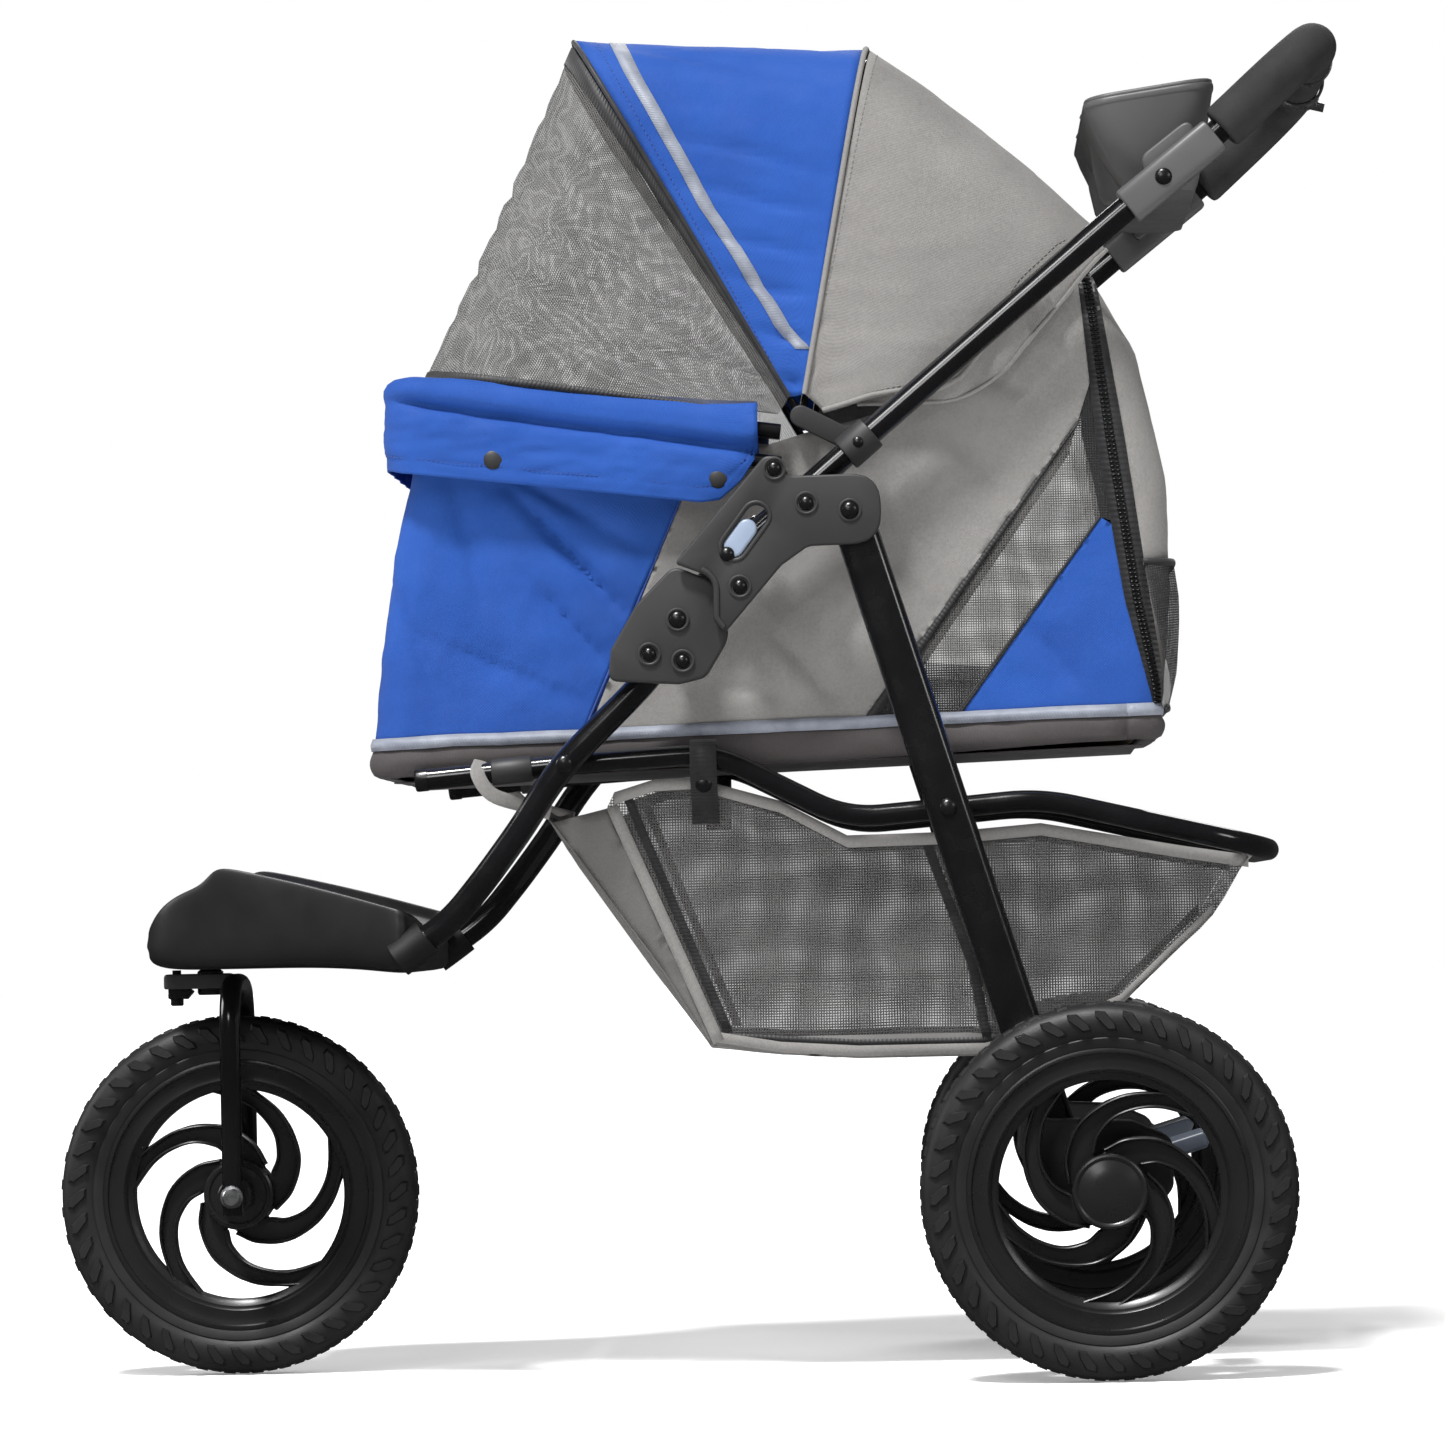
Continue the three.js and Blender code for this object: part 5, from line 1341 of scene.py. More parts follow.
def canopy_front():
    start = (FRONT_BOW[0] - 0.1, FRONT_BOW[1])
    end = (MID_BOW[0] + 0.2, MID_BOW[1])
    rows = stretched(start, end, 26, 1.1)
    obj = grid_mesh("canopy_front.piece", rows, BLUE)
    cloth(obj, None, "blue_fabric", ["canopy_front"], (0.93, 0.235),
          1.0)
    blend_front(obj)
    tape = reflective_strip(rows)
    blend_front(tape)
    edge = arch(FRONT_BOW[0] + 0.25, FRONT_BOW[1] + 0.4, CANOPY_HALF - 0.7)
    seam("front_bow_piping", edge, "front_bow", BINDING, 1.9, "dark_fabric")
    stitches("front_bow_stitching", on_panel(rows, 0.065), "front_bow", BLUE_BINDING, "blue_fabric", 4.2, 2.6, 0.35)
    piping = arch(MID_BOW[0] + 0.1, MID_BOW[1] + 1.0, CANOPY_HALF - 0.4)
    seam("mid_bow_piping", piping, "mid_bow", GREY, 2.2)
    stitches("mid_bow_stitching", on_panel(canopy_rear_rows(), 0.03), "mid_bow", GREY, "grey_fabric", 4.2, 2.6, 0.35)


def on_panel(rows, t, lift=0.6):
    """A line from side to side over a canopy panel, just outside the cloth."""
    pivot = Vector((CANOPY_PIVOT[0], 0, CANOPY_PIVOT[1]))
    line = []
    for c in range(len(rows[0])):
        p = surface_at(rows, t, c)
        outward = Vector((0, math.copysign(1, p.y), 0)) if abs(p.y) > CANOPY_HALF - 8 else (p - pivot).normalized()
        line.append(p + outward * lift)
    return line


def blend_front(obj):
    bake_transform(obj)


def blend_rear(obj):
    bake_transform(obj)


STRIP_ACROSS = ((17, 1.0), (53, 0.94), (80, 0.52), (120, 0.34), (184, 0.20), (300, 0.14), (400, 0.14))


def reflective_strip(rows):
    """A reflective tape sewn on the blue panel, from near the front bow's crown down to the middle bow's hub."""
    columns = arch_columns(CANOPY_HALF - 1.4, ARCH_BASE, FRONT_BOW[1])
    pivot = Vector((CANOPY_PIVOT[0], 0, CANOPY_PIVOT[1]))
    lines = []
    for offset in (-6.0, 0.0, 6.0):
        line = []
        for c, (y, reach) in enumerate(columns):
            if reach < 56:
                continue
            span = (rows[-1][c] - rows[0][c]).length
            across = float(np.interp(reach, *zip(*STRIP_ACROSS))) + offset / span
            p = surface_at(rows, max(0.02, min(0.98, across)), c)
            outward = Vector((0, math.copysign(1, y), 0)) if abs(y) > CANOPY_HALF - 8 else (p - pivot).normalized()
            line.append(p + outward * 0.9)
        lines.append(line)
    return thickened(grid_mesh("canopy_reflective_strip", lines, REFLECTIVE), 0.5)


REAR_HEM = ((17, 14.0), (54, 15.5), (105, 10.0), (122, 12.5), (154, 22.5), (195, 28.5), (232, 30.5), (300, 30.0))


def canopy_rear_rows(count=30, half=CANOPY_HALF - 1.4):
    """Rows from the middle bow to the hem: almost straight, a little drawn out, gathered at the hem."""
    pivot = Vector((CANOPY_PIVOT[0], 0, CANOPY_PIVOT[1]))
    first = arch(MID_BOW[0] - 0.6, MID_BOW[1], half)
    last = []
    for y, reach in arch_columns(half, ARCH_BASE, REAR_EDGE[1]):
        on_side = min(1.0, max(0.0, (abs(y) - 100) / 50))
        hem = float(np.interp(reach, *zip(*REAR_HEM)))
        last.append(arch_point(REAR_EDGE[0] * (1 - on_side) + hem * on_side, y, reach))
    rows = []
    for i in range(count + 1):
        t = i / count
        row = []
        for a, b in zip(first, last):
            p = a.lerp(b, t)
            reach = math.hypot(p.x - pivot.x, p.z - pivot.z)
            drawn = REAR_BULGE * math.sin(t * math.pi)
            p += Vector((p.x - pivot.x, 0, p.z - pivot.z)) * drawn
            gather = t**3 * math.sin(reach / 7.5) * 1.3 + t**2 * math.sin(p.y / 8.5) * (1.2 if abs(p.y) < 120 else 0)
            soft = math.sin(math.pi * t) * (1.2 + rumple(p.x * 0.7, p.y, p.z * 2, 60, 2.4))
            tension = 2.2 * math.exp(-t * 6) * max(0.0, math.sin(reach / 6 + p.y / 40)) ** 2 * math.sin(math.pi * min(1, t * 5))
            row.append(p + (pivot - p).normalized() * (soft + max(0, gather) + tension))
        rows.append(row)
    return rows


def canopy_rear():
    rows = canopy_rear_rows()
    obj = grid_mesh("canopy_rear.piece", rows, GREY)
    cloth(obj, None, "grey_fabric", ["canopy_rear"], (0.87, 0.30),
          1.0)
    blend_rear(obj)
    hem = [p + Vector((0, math.copysign(0.6, p.y) if abs(p.y) > 150 else 0, 0)) for p in rows[-1]]
    seam("canopy_rear_hem", hem, "handle", GREY, 2.3)
    above = [a.lerp(b, 0.5) + Vector((0, math.copysign(0.9, a.y) if abs(a.y) > 150 else 0, 0)) for a, b in zip(rows[-2], rows[-3])]
    stitches("canopy_rear_stitching", above, "handle", GREY, "grey_fabric", 4.2, 2.6, 0.35)
    for name, side in SIDES:
        hem_facing(name, side)
        for k, (x, z, turn) in enumerate(((183, 737, 40), (262, 800, 42))):
            tab = rounded_outline([turned(px, pz, (x, z), turn) + (1.2,) for px, pz in ((x - 13, z - 3.4), (x + 13, z - 3.4), (x + 13, z + 3.4), (x - 13, z + 3.4))], 4)
            piece = plate(f"canopy_snap_tab_{name}_{k + 1}", tab, *sorted((side * 172.6, side * 176)), GLOSSY_PLASTIC, 0.8)
            place(piece, "handle", "black_plastic")


def hem_facing(name, side):
    """The elastic facing that hangs below the hem and buttons round the handle's legs."""
    top = [(118, 729), (150, 732), (189, 733), (208, 746), (230, 776), (255, 811), (284, 832), (300, 842)]
    bottom = [(128, 722), (158, 722), (200, 724), (232, 740), (258, 768), (284, 798), (303, 820), (316, 833)]
    rows = []
    for t in np.linspace(0, 1, 7):
        row = []
        for a, b in zip(spline([Vector((x, 0, z)) for x, z in top], 6), spline([Vector((x, 0, z)) for x, z in bottom], 6)):
            p = a.lerp(b, t)
            fold = 1.4 * math.sin(p.x / 6.5 + 5 * t) * t
            row.append(Vector((p.x, side * (168.5 - 4 * t + fold), p.z)))
        rows.append(row)
    obj = grid_mesh(f"canopy_facing_{name}", rows, GREY)
    cloth(obj, "handle", "grey_fabric", [], (0.23, 0.035), 1.0)
    seam(f"canopy_facing_hem_{name}", rows[-1], "handle", GREY, 1.8)


def canopy_mesh():
    start, end = (FRONT_BOW[0] + 0.8, FRONT_BOW[1] - 3), MESH_EDGE
    rows = stretched(start, end, 30, 0.9)
    obj = grid_mesh("canopy_mesh.piece", rows, PALE_MESH)
    cloth(obj, "front_bow", "mesh_fabric", ["canopy_mesh"], (0.86, 0.30),
          0)
    strips = (("canopy_mesh_rear_border", 0.0, 0.05), ("canopy_mesh_lower_border", 0.97, 1.0))
    pieces = [obj]
    for name, t0, t1 in strips:
        pieces.append(place(lifted_strip(name, rows, t0, t1), "front_bow", "dark_fabric"))
    for piece in pieces:
        mm(*arch_point(FRONT_BOW[0], 0, 200))
        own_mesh(piece)


def surface_at(rows, t, c):
    place_in = t * (len(rows) - 1)
    i = min(int(place_in), len(rows) - 2)
    return rows[i][c].lerp(rows[i + 1][c], place_in - i)


def lifted_strip(name, rows, t0, t1, lift=0.8):
    """A binding over part of a sheet, a little outside it."""
    lines = []
    for t in (t0, (t0 + t1) / 2, t1):
        line = []
        for c in range(len(rows[0])):
            p = surface_at(rows, t, c)
            away = Vector((0, math.copysign(1, p.y), 0)) if abs(p.y) > 140 else Vector((-0.7, 0, 0.7))
            line.append(p + away * lift)
        lines.append(line)
    return thickened(grid_mesh(name, lines, BINDING), 0.7)


def canopy():
    bow("canopy_front_bow.piece", "front_bow", *FRONT_BOW, 167.7, "canopy_front_bow")
    bow("canopy_mid_bow.piece", "mid_bow", *MID_BOW, 160.7, "canopy_mid_bow")
    canopy_front()
    canopy_rear()
    canopy_mesh()


# ------------------------------------------------------------------ cabin
CABIN_REAR = ((345, 466), (352, 505), (357, 580), (355, 660), (335, 760), (300, 826))
CABIN_FRONT = ((-246, 449), (-238, 500), (-226, 580), (-208, 660), (-193, 730))
CABIN_CORNER = 26
FRONT_SEAM = ((-91, 462), (-86.8, 472), (-6.8, 652), (22, 717))
ZIP_LEFT = ((346, 486), (343.8, 492.5), (323.6, 571.2), (305.1, 690.8), (295.1, 802.9), (293, 822))
ZIP_RIGHT = ((356, 486), (352.3, 503.6), (342.6, 570.9), (326.5, 690.6), (310.2, 795.4), (307, 818))
CABIN_FOLDS = (
    ((-135, 668), (-38, 560), 6, 4.2), ((-150, 690), (-20, 610), 7, 2.6), ((-120, 600), (-50, 520), 8, 2.6),
    ((-200, 560), (-60, 500), 16, 2.0), ((-185, 720), (-150, 560), 9, 2.2), ((-225, 600), (-180, 500), 10, 1.8),
    ((60, 560), (120, 490), 9, 2.6), ((110, 660), (190, 560), 16, 2.2), ((180, 720), (250, 640), 12, 2.4),
    ((20, 520), (90, 500), 8, 1.8), ((150, 600), (100, 520), 9, 1.8), ((40, 640), (70, 560), 7, 2.0),
    ((200, 760), (270, 720), 9, 2.0), ((250, 560), (300, 500), 10, 1.6),
)


def floor_z(x):
    return 449 + (x + 244) * FLOOR_SLOPE


def strip_z(x):
    """Height of the reflective piping along the cabin's base."""
    return 473 + (x + 240) * 14 / 588


def cabin_top(x):
    outline = ((-193, 728), (60, 694), (88, 702), (150, 717), (205, 752), (255, 806), (300, 824))
    return float(np.interp(x, [p[0] for p in outline], [p[1] for p in outline]))


def corner_y(x, wall, half):
    """Half-width at x where the side turns into a rounded corner before the wall x = wall."""
    into = abs(x) * 0 + (x - (wall - CABIN_CORNER)) if wall > 0 else (wall + CABIN_CORNER) - x
    if into <= 0:
        return half
    return half - CABIN_CORNER + math.sqrt(max(0.0, CABIN_CORNER**2 - min(into, CABIN_CORNER) ** 2))


def side_surface(side, lift=0.0):
    def surface(x, z):
        wall = line_x(CABIN_REAR, z)
        half = corner_y(x, wall, CABIN_HALF)
        calm = min(1, max(0, (z - strip_z(x)) / 30)) * min(1, max(0.25, (330 - x) / 60))
        soft = calm * (-crease(x, z, CABIN_FOLDS) - abs(rumple(x, side * 40, z, 70, 2.4)) - abs(rumple(x, side, z, 24, 0.8)))
        return x, side * (half - 1 + soft * 0.9 + lift), z

    return surface


def wrap_row(z, start, wall, half=CABIN_HALF, radius=CABIN_CORNER, counts=(14, 9, 22)):
    """Points round three sides of the cabin: along a side from x = start, across the wall x = wall and back."""
    way = 1 if wall > start else -1
    corner_start = wall - way * radius
    first = math.asin(max(0.0, min(0.98, (start - corner_start) * way / radius)))
    side_end = corner_start if first == 0 else start
    line = [(start + (side_end - start) * i / counts[0], -half, 0.0, -1.0) for i in range(counts[0])] if first == 0 else []
    if first:
        line = [(start, -(half - radius + radius * math.cos(first)), way * math.sin(first), -math.cos(first))] * counts[0]
    for i in range(counts[1]):
        a = first + (math.pi / 2 - first) * i / counts[1]
        line.append((corner_start + way * radius * math.sin(a), -(half - radius + radius * math.cos(a)), way * math.sin(a), -math.cos(a)))
    for i in range(counts[2] // 2 + 1):
        y = -(half - radius) * (1 - i / (counts[2] // 2))
        line.append((wall, y, float(way), 0.0))
    whole = line + [(x, -y, nx, -ny) for x, y, nx, ny in line[-2::-1]]
    return [(Vector((x, y, z)), Vector((nx, ny, 0))) for x, y, nx, ny in whole]


def cabin_front():
    """The blue front wraps round from one seam to the other."""
    surface = []
    for t in np.linspace(0, 1, 64):
        z_side = strip_z(-90) + (714 - strip_z(-90)) * t
        start = line_x(FRONT_SEAM, z_side)
        row = []
        wall = line_x(CABIN_FRONT, z_side)
        for p, out in wrap_row(z_side, start, wall, counts=(44, 9, 60)):
            z = strip_z(p.x) + (cabin_front_top(p.x) - strip_z(p.x)) * t
            calm = min(1, t * 8)
            soft = calm * (-crease(p.x, z, CABIN_FOLDS) - abs(rumple(p.x, p.y, z, 64, 2.6)) - abs(rumple(p.x, p.y, z, 22, 0.8)))
            front = calm * out.x * -1 * 3.0 * math.sin(math.pi * t) if out.x < -0.5 else 0
            row.append(Vector((p.x, p.y, z)) + out * (soft - 1 + front))
        surface.append(row)
    obj = grid_mesh("cabin_front_panel", surface, BLUE)
    piece = cloth(obj, "cradle", "blue_fabric", [], (0.66, 0.25), 1.0)
    return [piece]


def cabin_front_top(x):
    return rim_height(x) - 2


def cabin_side(name, side):
    """The left or right wall: grey cloth, the mesh window, its dark gusset and the blue corner."""
    seam_x = [(x, z) for x, z in ((-81.5, 484), (-6.8, 652), (20, 712))]
    window_low, window_high = (124.3, 484), (291.7, 706)
    window_right_low, window_right_high = (193.3, 485.5), (306.6, 634)
    zip_low, zip_mid, zip_high = (346.8, 492.5), (327.6, 571.2), (310.1, 690.8)
    surface = side_surface(side)
    bottom = [(x, strip_z(x)) for x in np.linspace(-81, 124, 10)]
    top = [(x, cabin_top(x)) for x in (294, 280, 255, 230, 205, 178, 150, 120, 88, 70, 60, 45, 30)]
    grey = [*bottom, window_high, (303, 740), (299.1, 802.9), *top, seam_x[2], seam_x[1]]
    window = [window_low, (160, strip_z(160)), window_right_low, window_right_high, (302, 662), window_high]
    blue = [window_right_low, (270, strip_z(270)), (346, strip_z(346)), zip_low, (336, 535), zip_mid, (319.5, 626), window_right_high]
    gusset = [window_right_high, (319, 630), zip_high, (304, 744), window_high, (302, 662)]
    pieces = []
    cut = (
        ("grey_panel", grey, GREY, "grey_fabric", (0.40, 0.34), 0, 1.0),
        ("mesh_window", window, PALE_MESH, "mesh_fabric", (0.25, 0.14), 0, 0),
        ("blue_corner", blue, BLUE, "blue_fabric", (0.17, 0.15), 0, 1.0),
        ("window_gusset", gusset, DARK_MESH, "mesh_fabric", (0.14, 0.03), 0, 0),
    )
    for part, outline, material, slot, flat, lift, thick in cut:
        obj = patch(f"cabin_{part}_{name}", outline, surface, material, 4.5 if thick else 7)
        pieces.append(cloth(obj, "cradle", slot, [], flat, thick))
    pieces += window_trim(name, side, window, (window_low, window_high), (window_right_low, window_right_high))
    lines = (("front_seam", [(-83, 480), *seam_x[1:]], BLUE_BINDING, 0.9), ("corner_seam", [window_right_low, window_right_high], BINDING, 1.1))
    for part, line, material, radius in lines:
        raised = side_surface(side, 0.4)
        points = [raised(x, z) for x, z in refined_line(line, 8)]
        pieces.append(seam(f"cabin_{part}_{name}", points, "cradle", material, radius))
    pieces.append(zip_band(name, side))
    return pieces


def refined_line(points, spacing):
    line = []
    for a, b in zip(points, points[1:]):
        count = max(1, math.ceil(math.dist(a, b) / spacing))
        line += [(a[0] + (b[0] - a[0]) * i / count, a[1] + (b[1] - a[1]) * i / count) for i in range(count)]
    return [*line, points[-1]]


def window_trim(name, side, window, left, right):
    """Dark tape round the mesh window, with a double layer of mesh at its foot."""
    surface = side_surface(side, 0.9)
    pieces = []
    foot = [left[0], (160, strip_z(160)), right[0], (right[0][0] + 30, 524), (left[0][0] + 36, 530)]
    obj = patch(f"cabin_window_foot_{name}", foot, surface, DARK_MESH, 9)
    pieces.append(cloth(obj, "cradle", "mesh_fabric", [], (0.085, 0.045), 0))
    for part, (a, b), width in (("front", left, 8.0), ("rear", right, 3.0)):
        across = Vector((b[1] - a[1], a[0] - b[0])).normalized()
        rows = []
        for offset in (0.0, width):
            line = refined_line([(a[0] + across.x * offset, a[1] + across.y * offset),
                                 (b[0] + across.x * offset * 0.2, b[1] + across.y * offset * 0.2)], 10)
            rows.append([surface(x, z) for x, z in line])
        tape = grid_mesh(f"cabin_window_{part}_tape_{name}", rows, BINDING)
        pieces.append(place(thickened(tape, 0.7), "cradle", "dark_fabric"))
    return pieces


def zip_band(name, side):
    """Zip tape up the rear corner, with a coil of teeth."""
    surface = side_surface(side, 0.8)
    levels = np.linspace(489, 815, 46)
    tape, teeth = [], []
    for part in (0.0, 0.5, 1.0):
        row = []
        for z in levels:
            a, b = line_x(ZIP_LEFT, z), line_x(ZIP_RIGHT, z)
            row.append(surface(min(a + (b - a) * part, line_x(CABIN_REAR, z) - 0.6), z))
        tape.append(row)
    obj = place(thickened(grid_mesh(f"cabin_zip_tape_{name}", tape, ZIP_TAPE), 0.9), "cradle", "dark_fabric")
    raised = side_surface(side, 2.0)
    for z in np.arange(492, 813, 3.2):
        a, b = line_x(ZIP_LEFT, z), min(line_x(ZIP_RIGHT, z), line_x(CABIN_REAR, z) - 0.6)
        for share in (0.40, 0.58):
            x = a + (b - a) * share
            teeth.append(sweep([Vector(raised(x - 1.6, z)), Vector(raised(x + 1.6, z + 0.8))], ring_section(1.0, 6), Vector((0, 0, 1))))
    coil = place(add_mesh(f"cabin_zip_teeth_{name}", *merged("teeth", teeth), GLOSSY_PLASTIC), "cradle", "black_plastic")
    coil.parent_type = "OBJECT"
    SQUASHED.append(coil)
    return obj


SQUASHED = []


def cabin_rear():
    """The rear wall wraps round from one zip to the other: grey cloth above a mesh pocket."""
    surface = []
    for t in np.linspace(0, 1, 40):
        z = 488 + (816 - 488) * t
        start, wall = line_x(ZIP_RIGHT, z) - 2.5, line_x(CABIN_REAR, z)
        row = []
        for p, out in wrap_row(z, min(start, wall - 1.2), wall, counts=(3, 10, 24)):
            soft = -abs(rumple(p.x, p.y, z, 60, 3.0)) - abs(rumple(p.x, p.y, z, 20, 0.6))
            bulge = 3.0 * math.sin(math.pi * t) * max(0, out.x)
            row.append(p + out * (soft * min(1, 6 * t) + bulge - 1))
        surface.append(row)
    obj = grid_mesh("cabin_rear_panel", surface, GREY)
    pieces = [cloth(obj, "cradle", "grey_fabric", [], (0.42, 0.35), 1.0)]
    pocket = []
    for t in np.linspace(0, 1, 14):
        z = 492 + (600 - 492) * t
        start, wall = line_x(ZIP_RIGHT, z) - 1.5, line_x(CABIN_REAR, z)
        row = []
        for p, out in wrap_row(z, min(start, wall - 1.2), wall, counts=(3, 10, 24)):
            billow = 3.0 + 6.5 * math.sin(math.pi * (0.15 + 0.75 * t)) * max(0, out.x) + rumple(p.x, p.y, z, 30, 1.2)
            row.append(p + out * billow)
        pocket.append(row)
    mesh = grid_mesh("rear_mesh_pocket", pocket, DARK_MESH)
    pieces.append(cloth(mesh, "cradle", "mesh_fabric", [], (0.42, 0.11), 0))
    for part, row, radius, material in (("top", pocket[-1], 2.8, BINDING), ("foot", pocket[0], 2.6, BINDING)):
        pieces.append(seam(f"rear_pocket_{part}_binding", row, "cradle", material, radius, "dark_fabric", 0.6))
    top = [p + Vector((0, 0, 1)) for p in surface[-1]]
    pieces.append(seam("cabin_rear_top_hem", top, "cradle", GREY, 2.0))
    return pieces


def perimeter(z_of, half=CABIN_HALF, radius=CABIN_CORNER, front=None, rear=None, steps=30):
    """A loop round the cabin's base: points and outward directions."""
    low_x = -241 if front is None else front
    high_x = 349 if rear is None else rear
    loop = []
    corners = ((high_x - radius, -half + radius, -90), (high_x - radius, half - radius, 0),
               (low_x + radius, half - radius, 90), (low_x + radius, -half + radius, 180))
    for k, (cx, cy, start) in enumerate(corners):
        for i in range(9):
            a = math.radians(start + 90 * i / 8)
            loop.append((Vector((cx + radius * math.cos(a), cy + radius * math.sin(a), 0)), Vector((math.cos(a), math.sin(a), 0))))
        nx, ny, turn = corners[(k + 1) % 4]
        a = math.radians(start + 90)
        end = Vector((cx + radius * math.cos(a), cy + radius * math.sin(a), 0))
        following = Vector((nx + radius * math.cos(a), ny + radius * math.sin(a), 0))
        for i in range(1, steps):
            loop.append((end.lerp(following, i / steps), Vector((math.cos(a), math.sin(a), 0))))
    placed = [(Vector((p.x, p.y, z_of(p.x))), out) for p, out in loop]
    return [*placed, placed[0]]


def cabin_base():
    """The dark cover under the cabin, puckered where its elastic draws it in, below a reflective piping."""
    levels = []
    for t in np.linspace(0, 1, 12):
        row = []
        for p, out in perimeter(lambda x: strip_z(x) + 2):
            low = floor_z(p.x) + 3 - 4 * math.sin(math.pi * min(1, max(0, (p.x + 120) / 400)))
            z = p.z + (low - p.z) * min(1, t * 1.25)
            under = max(0, t - 0.78) / 0.22
            pucker = (rumple(p.x, p.y, z, 17, 2.6) + rumple(p.x, p.y, z * 0.4, 40, 2.2)) * math.sin(math.pi * min(1, t * 1.1))
            bulge = 3.5 * math.sin(math.pi * min(1, t * 1.2)) - 16 * under - 2
            row.append(Vector((p.x, p.y, z)) + out * (bulge + pucker * 0.7))
        levels.append(row)
    obj = grid_mesh("cabin_base_cover", levels, DARK)
    pieces = [cloth(obj, "cradle", "dark_fabric", [], (1.82, 0.05), 1.2)]
    under = [[Vector((x, y * 0.9, floor_z(x) - 0.8 + 1.0 * math.cos(y / 60))) for x in np.linspace(-226, 334, 40)] for y in np.linspace(-150, 150, 24)]
    bottom = grid_mesh("cabin_underside", under, DARK)
    pieces.append(cloth(bottom, "cradle", "dark_fabric", [], (0.56, 0.30), 1.0))
    lower = [p + out * 1.6 + Vector((0, 0, -1 + rumple(p.x, p.y, 0, 50, 1.0))) for p, out in perimeter(strip_z)]
    upper = [p + out * 0.6 + Vector((0, 0, 8 + rumple(p.x, p.y, 9, 50, 1.0))) for p, out in perimeter(strip_z)]
    mid = [a.lerp(b, 0.5) + out * 1.3 for a, b, (_, out) in zip(lower, upper, perimeter(strip_z))]
    tape = thickened(grid_mesh("cabin_reflective_piping", [lower, mid, upper], REFLECTIVE), 0.8)
    pieces.append(place(tape, "cradle", "pale_grey"))
    return pieces


def floor_cushion():
    """The pad the pet stands on: foam in a dark cover, crowned, with a sewn edge."""
    low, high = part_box("floor_pad")
    width, length = (high.x - low.x) / MM, (high.y - low.y) / MM
    half = (width / 2 - 3, length / 2 - 3)
    middle = Vector(((low.x + high.x) / 2 / MM, 0, 0))
    rows = []
    count, across = 44, 26
    for face in (1, -1):
        surface = []
        for i in range(count + 1):
            row = []
            for j in range(across + 1):
                u, v = (i / count) * 2 - 1, (j / across) * 2 - 1
                pull = 1 - 0.018 * (1 - v * v) if abs(u) > 0.99 else 1
                x = middle.x + half[0] * u * pull
                y = half[1] * v * (1 - 0.02 * (1 - u * u) * (abs(v) > 0.99))
                edge = (1 - abs(u) ** 8) * (1 - abs(v) ** 8)
                channel = 1 - 0.5 * max(math.exp(-((y / 5) ** 2)), math.exp(-(((x - middle.x) / 5) ** 2)))
                base = floor_z(x) + 3 + 7 + 9
                z = base + face * (2 + (6.2 + 0.8 * rumple(x, y, face * 9, 60, 1)) * edge ** 0.6 * (channel if face > 0 else 1))
                row.append(Vector((x, y, z)))
            surface.append(row)
        rows.append(surface)
    top, bottom = rows
    size = across + 1
    points = [p for surface in rows for row in surface for p in row]
    faces = []
    for which, surface in enumerate(rows):
        start = which * (count + 1) * size
        for i in range(count):
            for j in range(across):
                quad = [start + i * size + j, start + i * size + j + 1, start + (i + 1) * size + j + 1, start + (i + 1) * size + j]
                faces.append(quad if which else quad[::-1])
    border = [i * size for i in range(count + 1)] + [count * size + j for j in range(1, size)]
    border += [i * size + across for i in range(count - 1, -1, -1)] + [j for j in range(across - 1, 0, -1)]
    lift = (count + 1) * size
    for a, b in zip(border, border[1:] + border[:1]):
        faces.append([a, b, b + lift, a + lift])
    uvs = [(p.x * MM, p.y * MM) for p in points]
    pad = welded(add_mesh("floor_pad.piece", points, faces, DARK, uvs), 0.001)
    place(pad, "cradle", "dark_fabric", "floor_pad")
    edge = [points[i] + Vector((0, 0, -2)) for i in border]
    piping = seam("floor_pad_piping", [*edge, edge[0]], "cradle", BINDING, 1.6, "dark_fabric")
    return [pad, piping]


def cabin():
    pieces = [*cabin_front(), *cabin_rear(), *cabin_base()]
    for name, side in SIDES:
        pieces += cabin_side(name, side)
    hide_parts("cabin_shell")
    pieces += SQUASHED
    for piece in pieces:
        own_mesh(piece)
    floor_cushion()


# ------------------------------------------------------------------ front flap
FLAP_HALF = 178
FLAP_WALL = -226
FLAP_CORNER = 31
FLAP_TOP = ((-226, 747), (-212.6, 747), (-173.9, 746), (-62.9, 733), (53.4, 722))
FLAP_BOTTOM = ((-226, 681), (-214, 678), (-64.4, 660), (10, 650.5), (24, 652), (39.6, 665), (53.4, 686))
SNAPS = ((-144, 686), (23, 668))


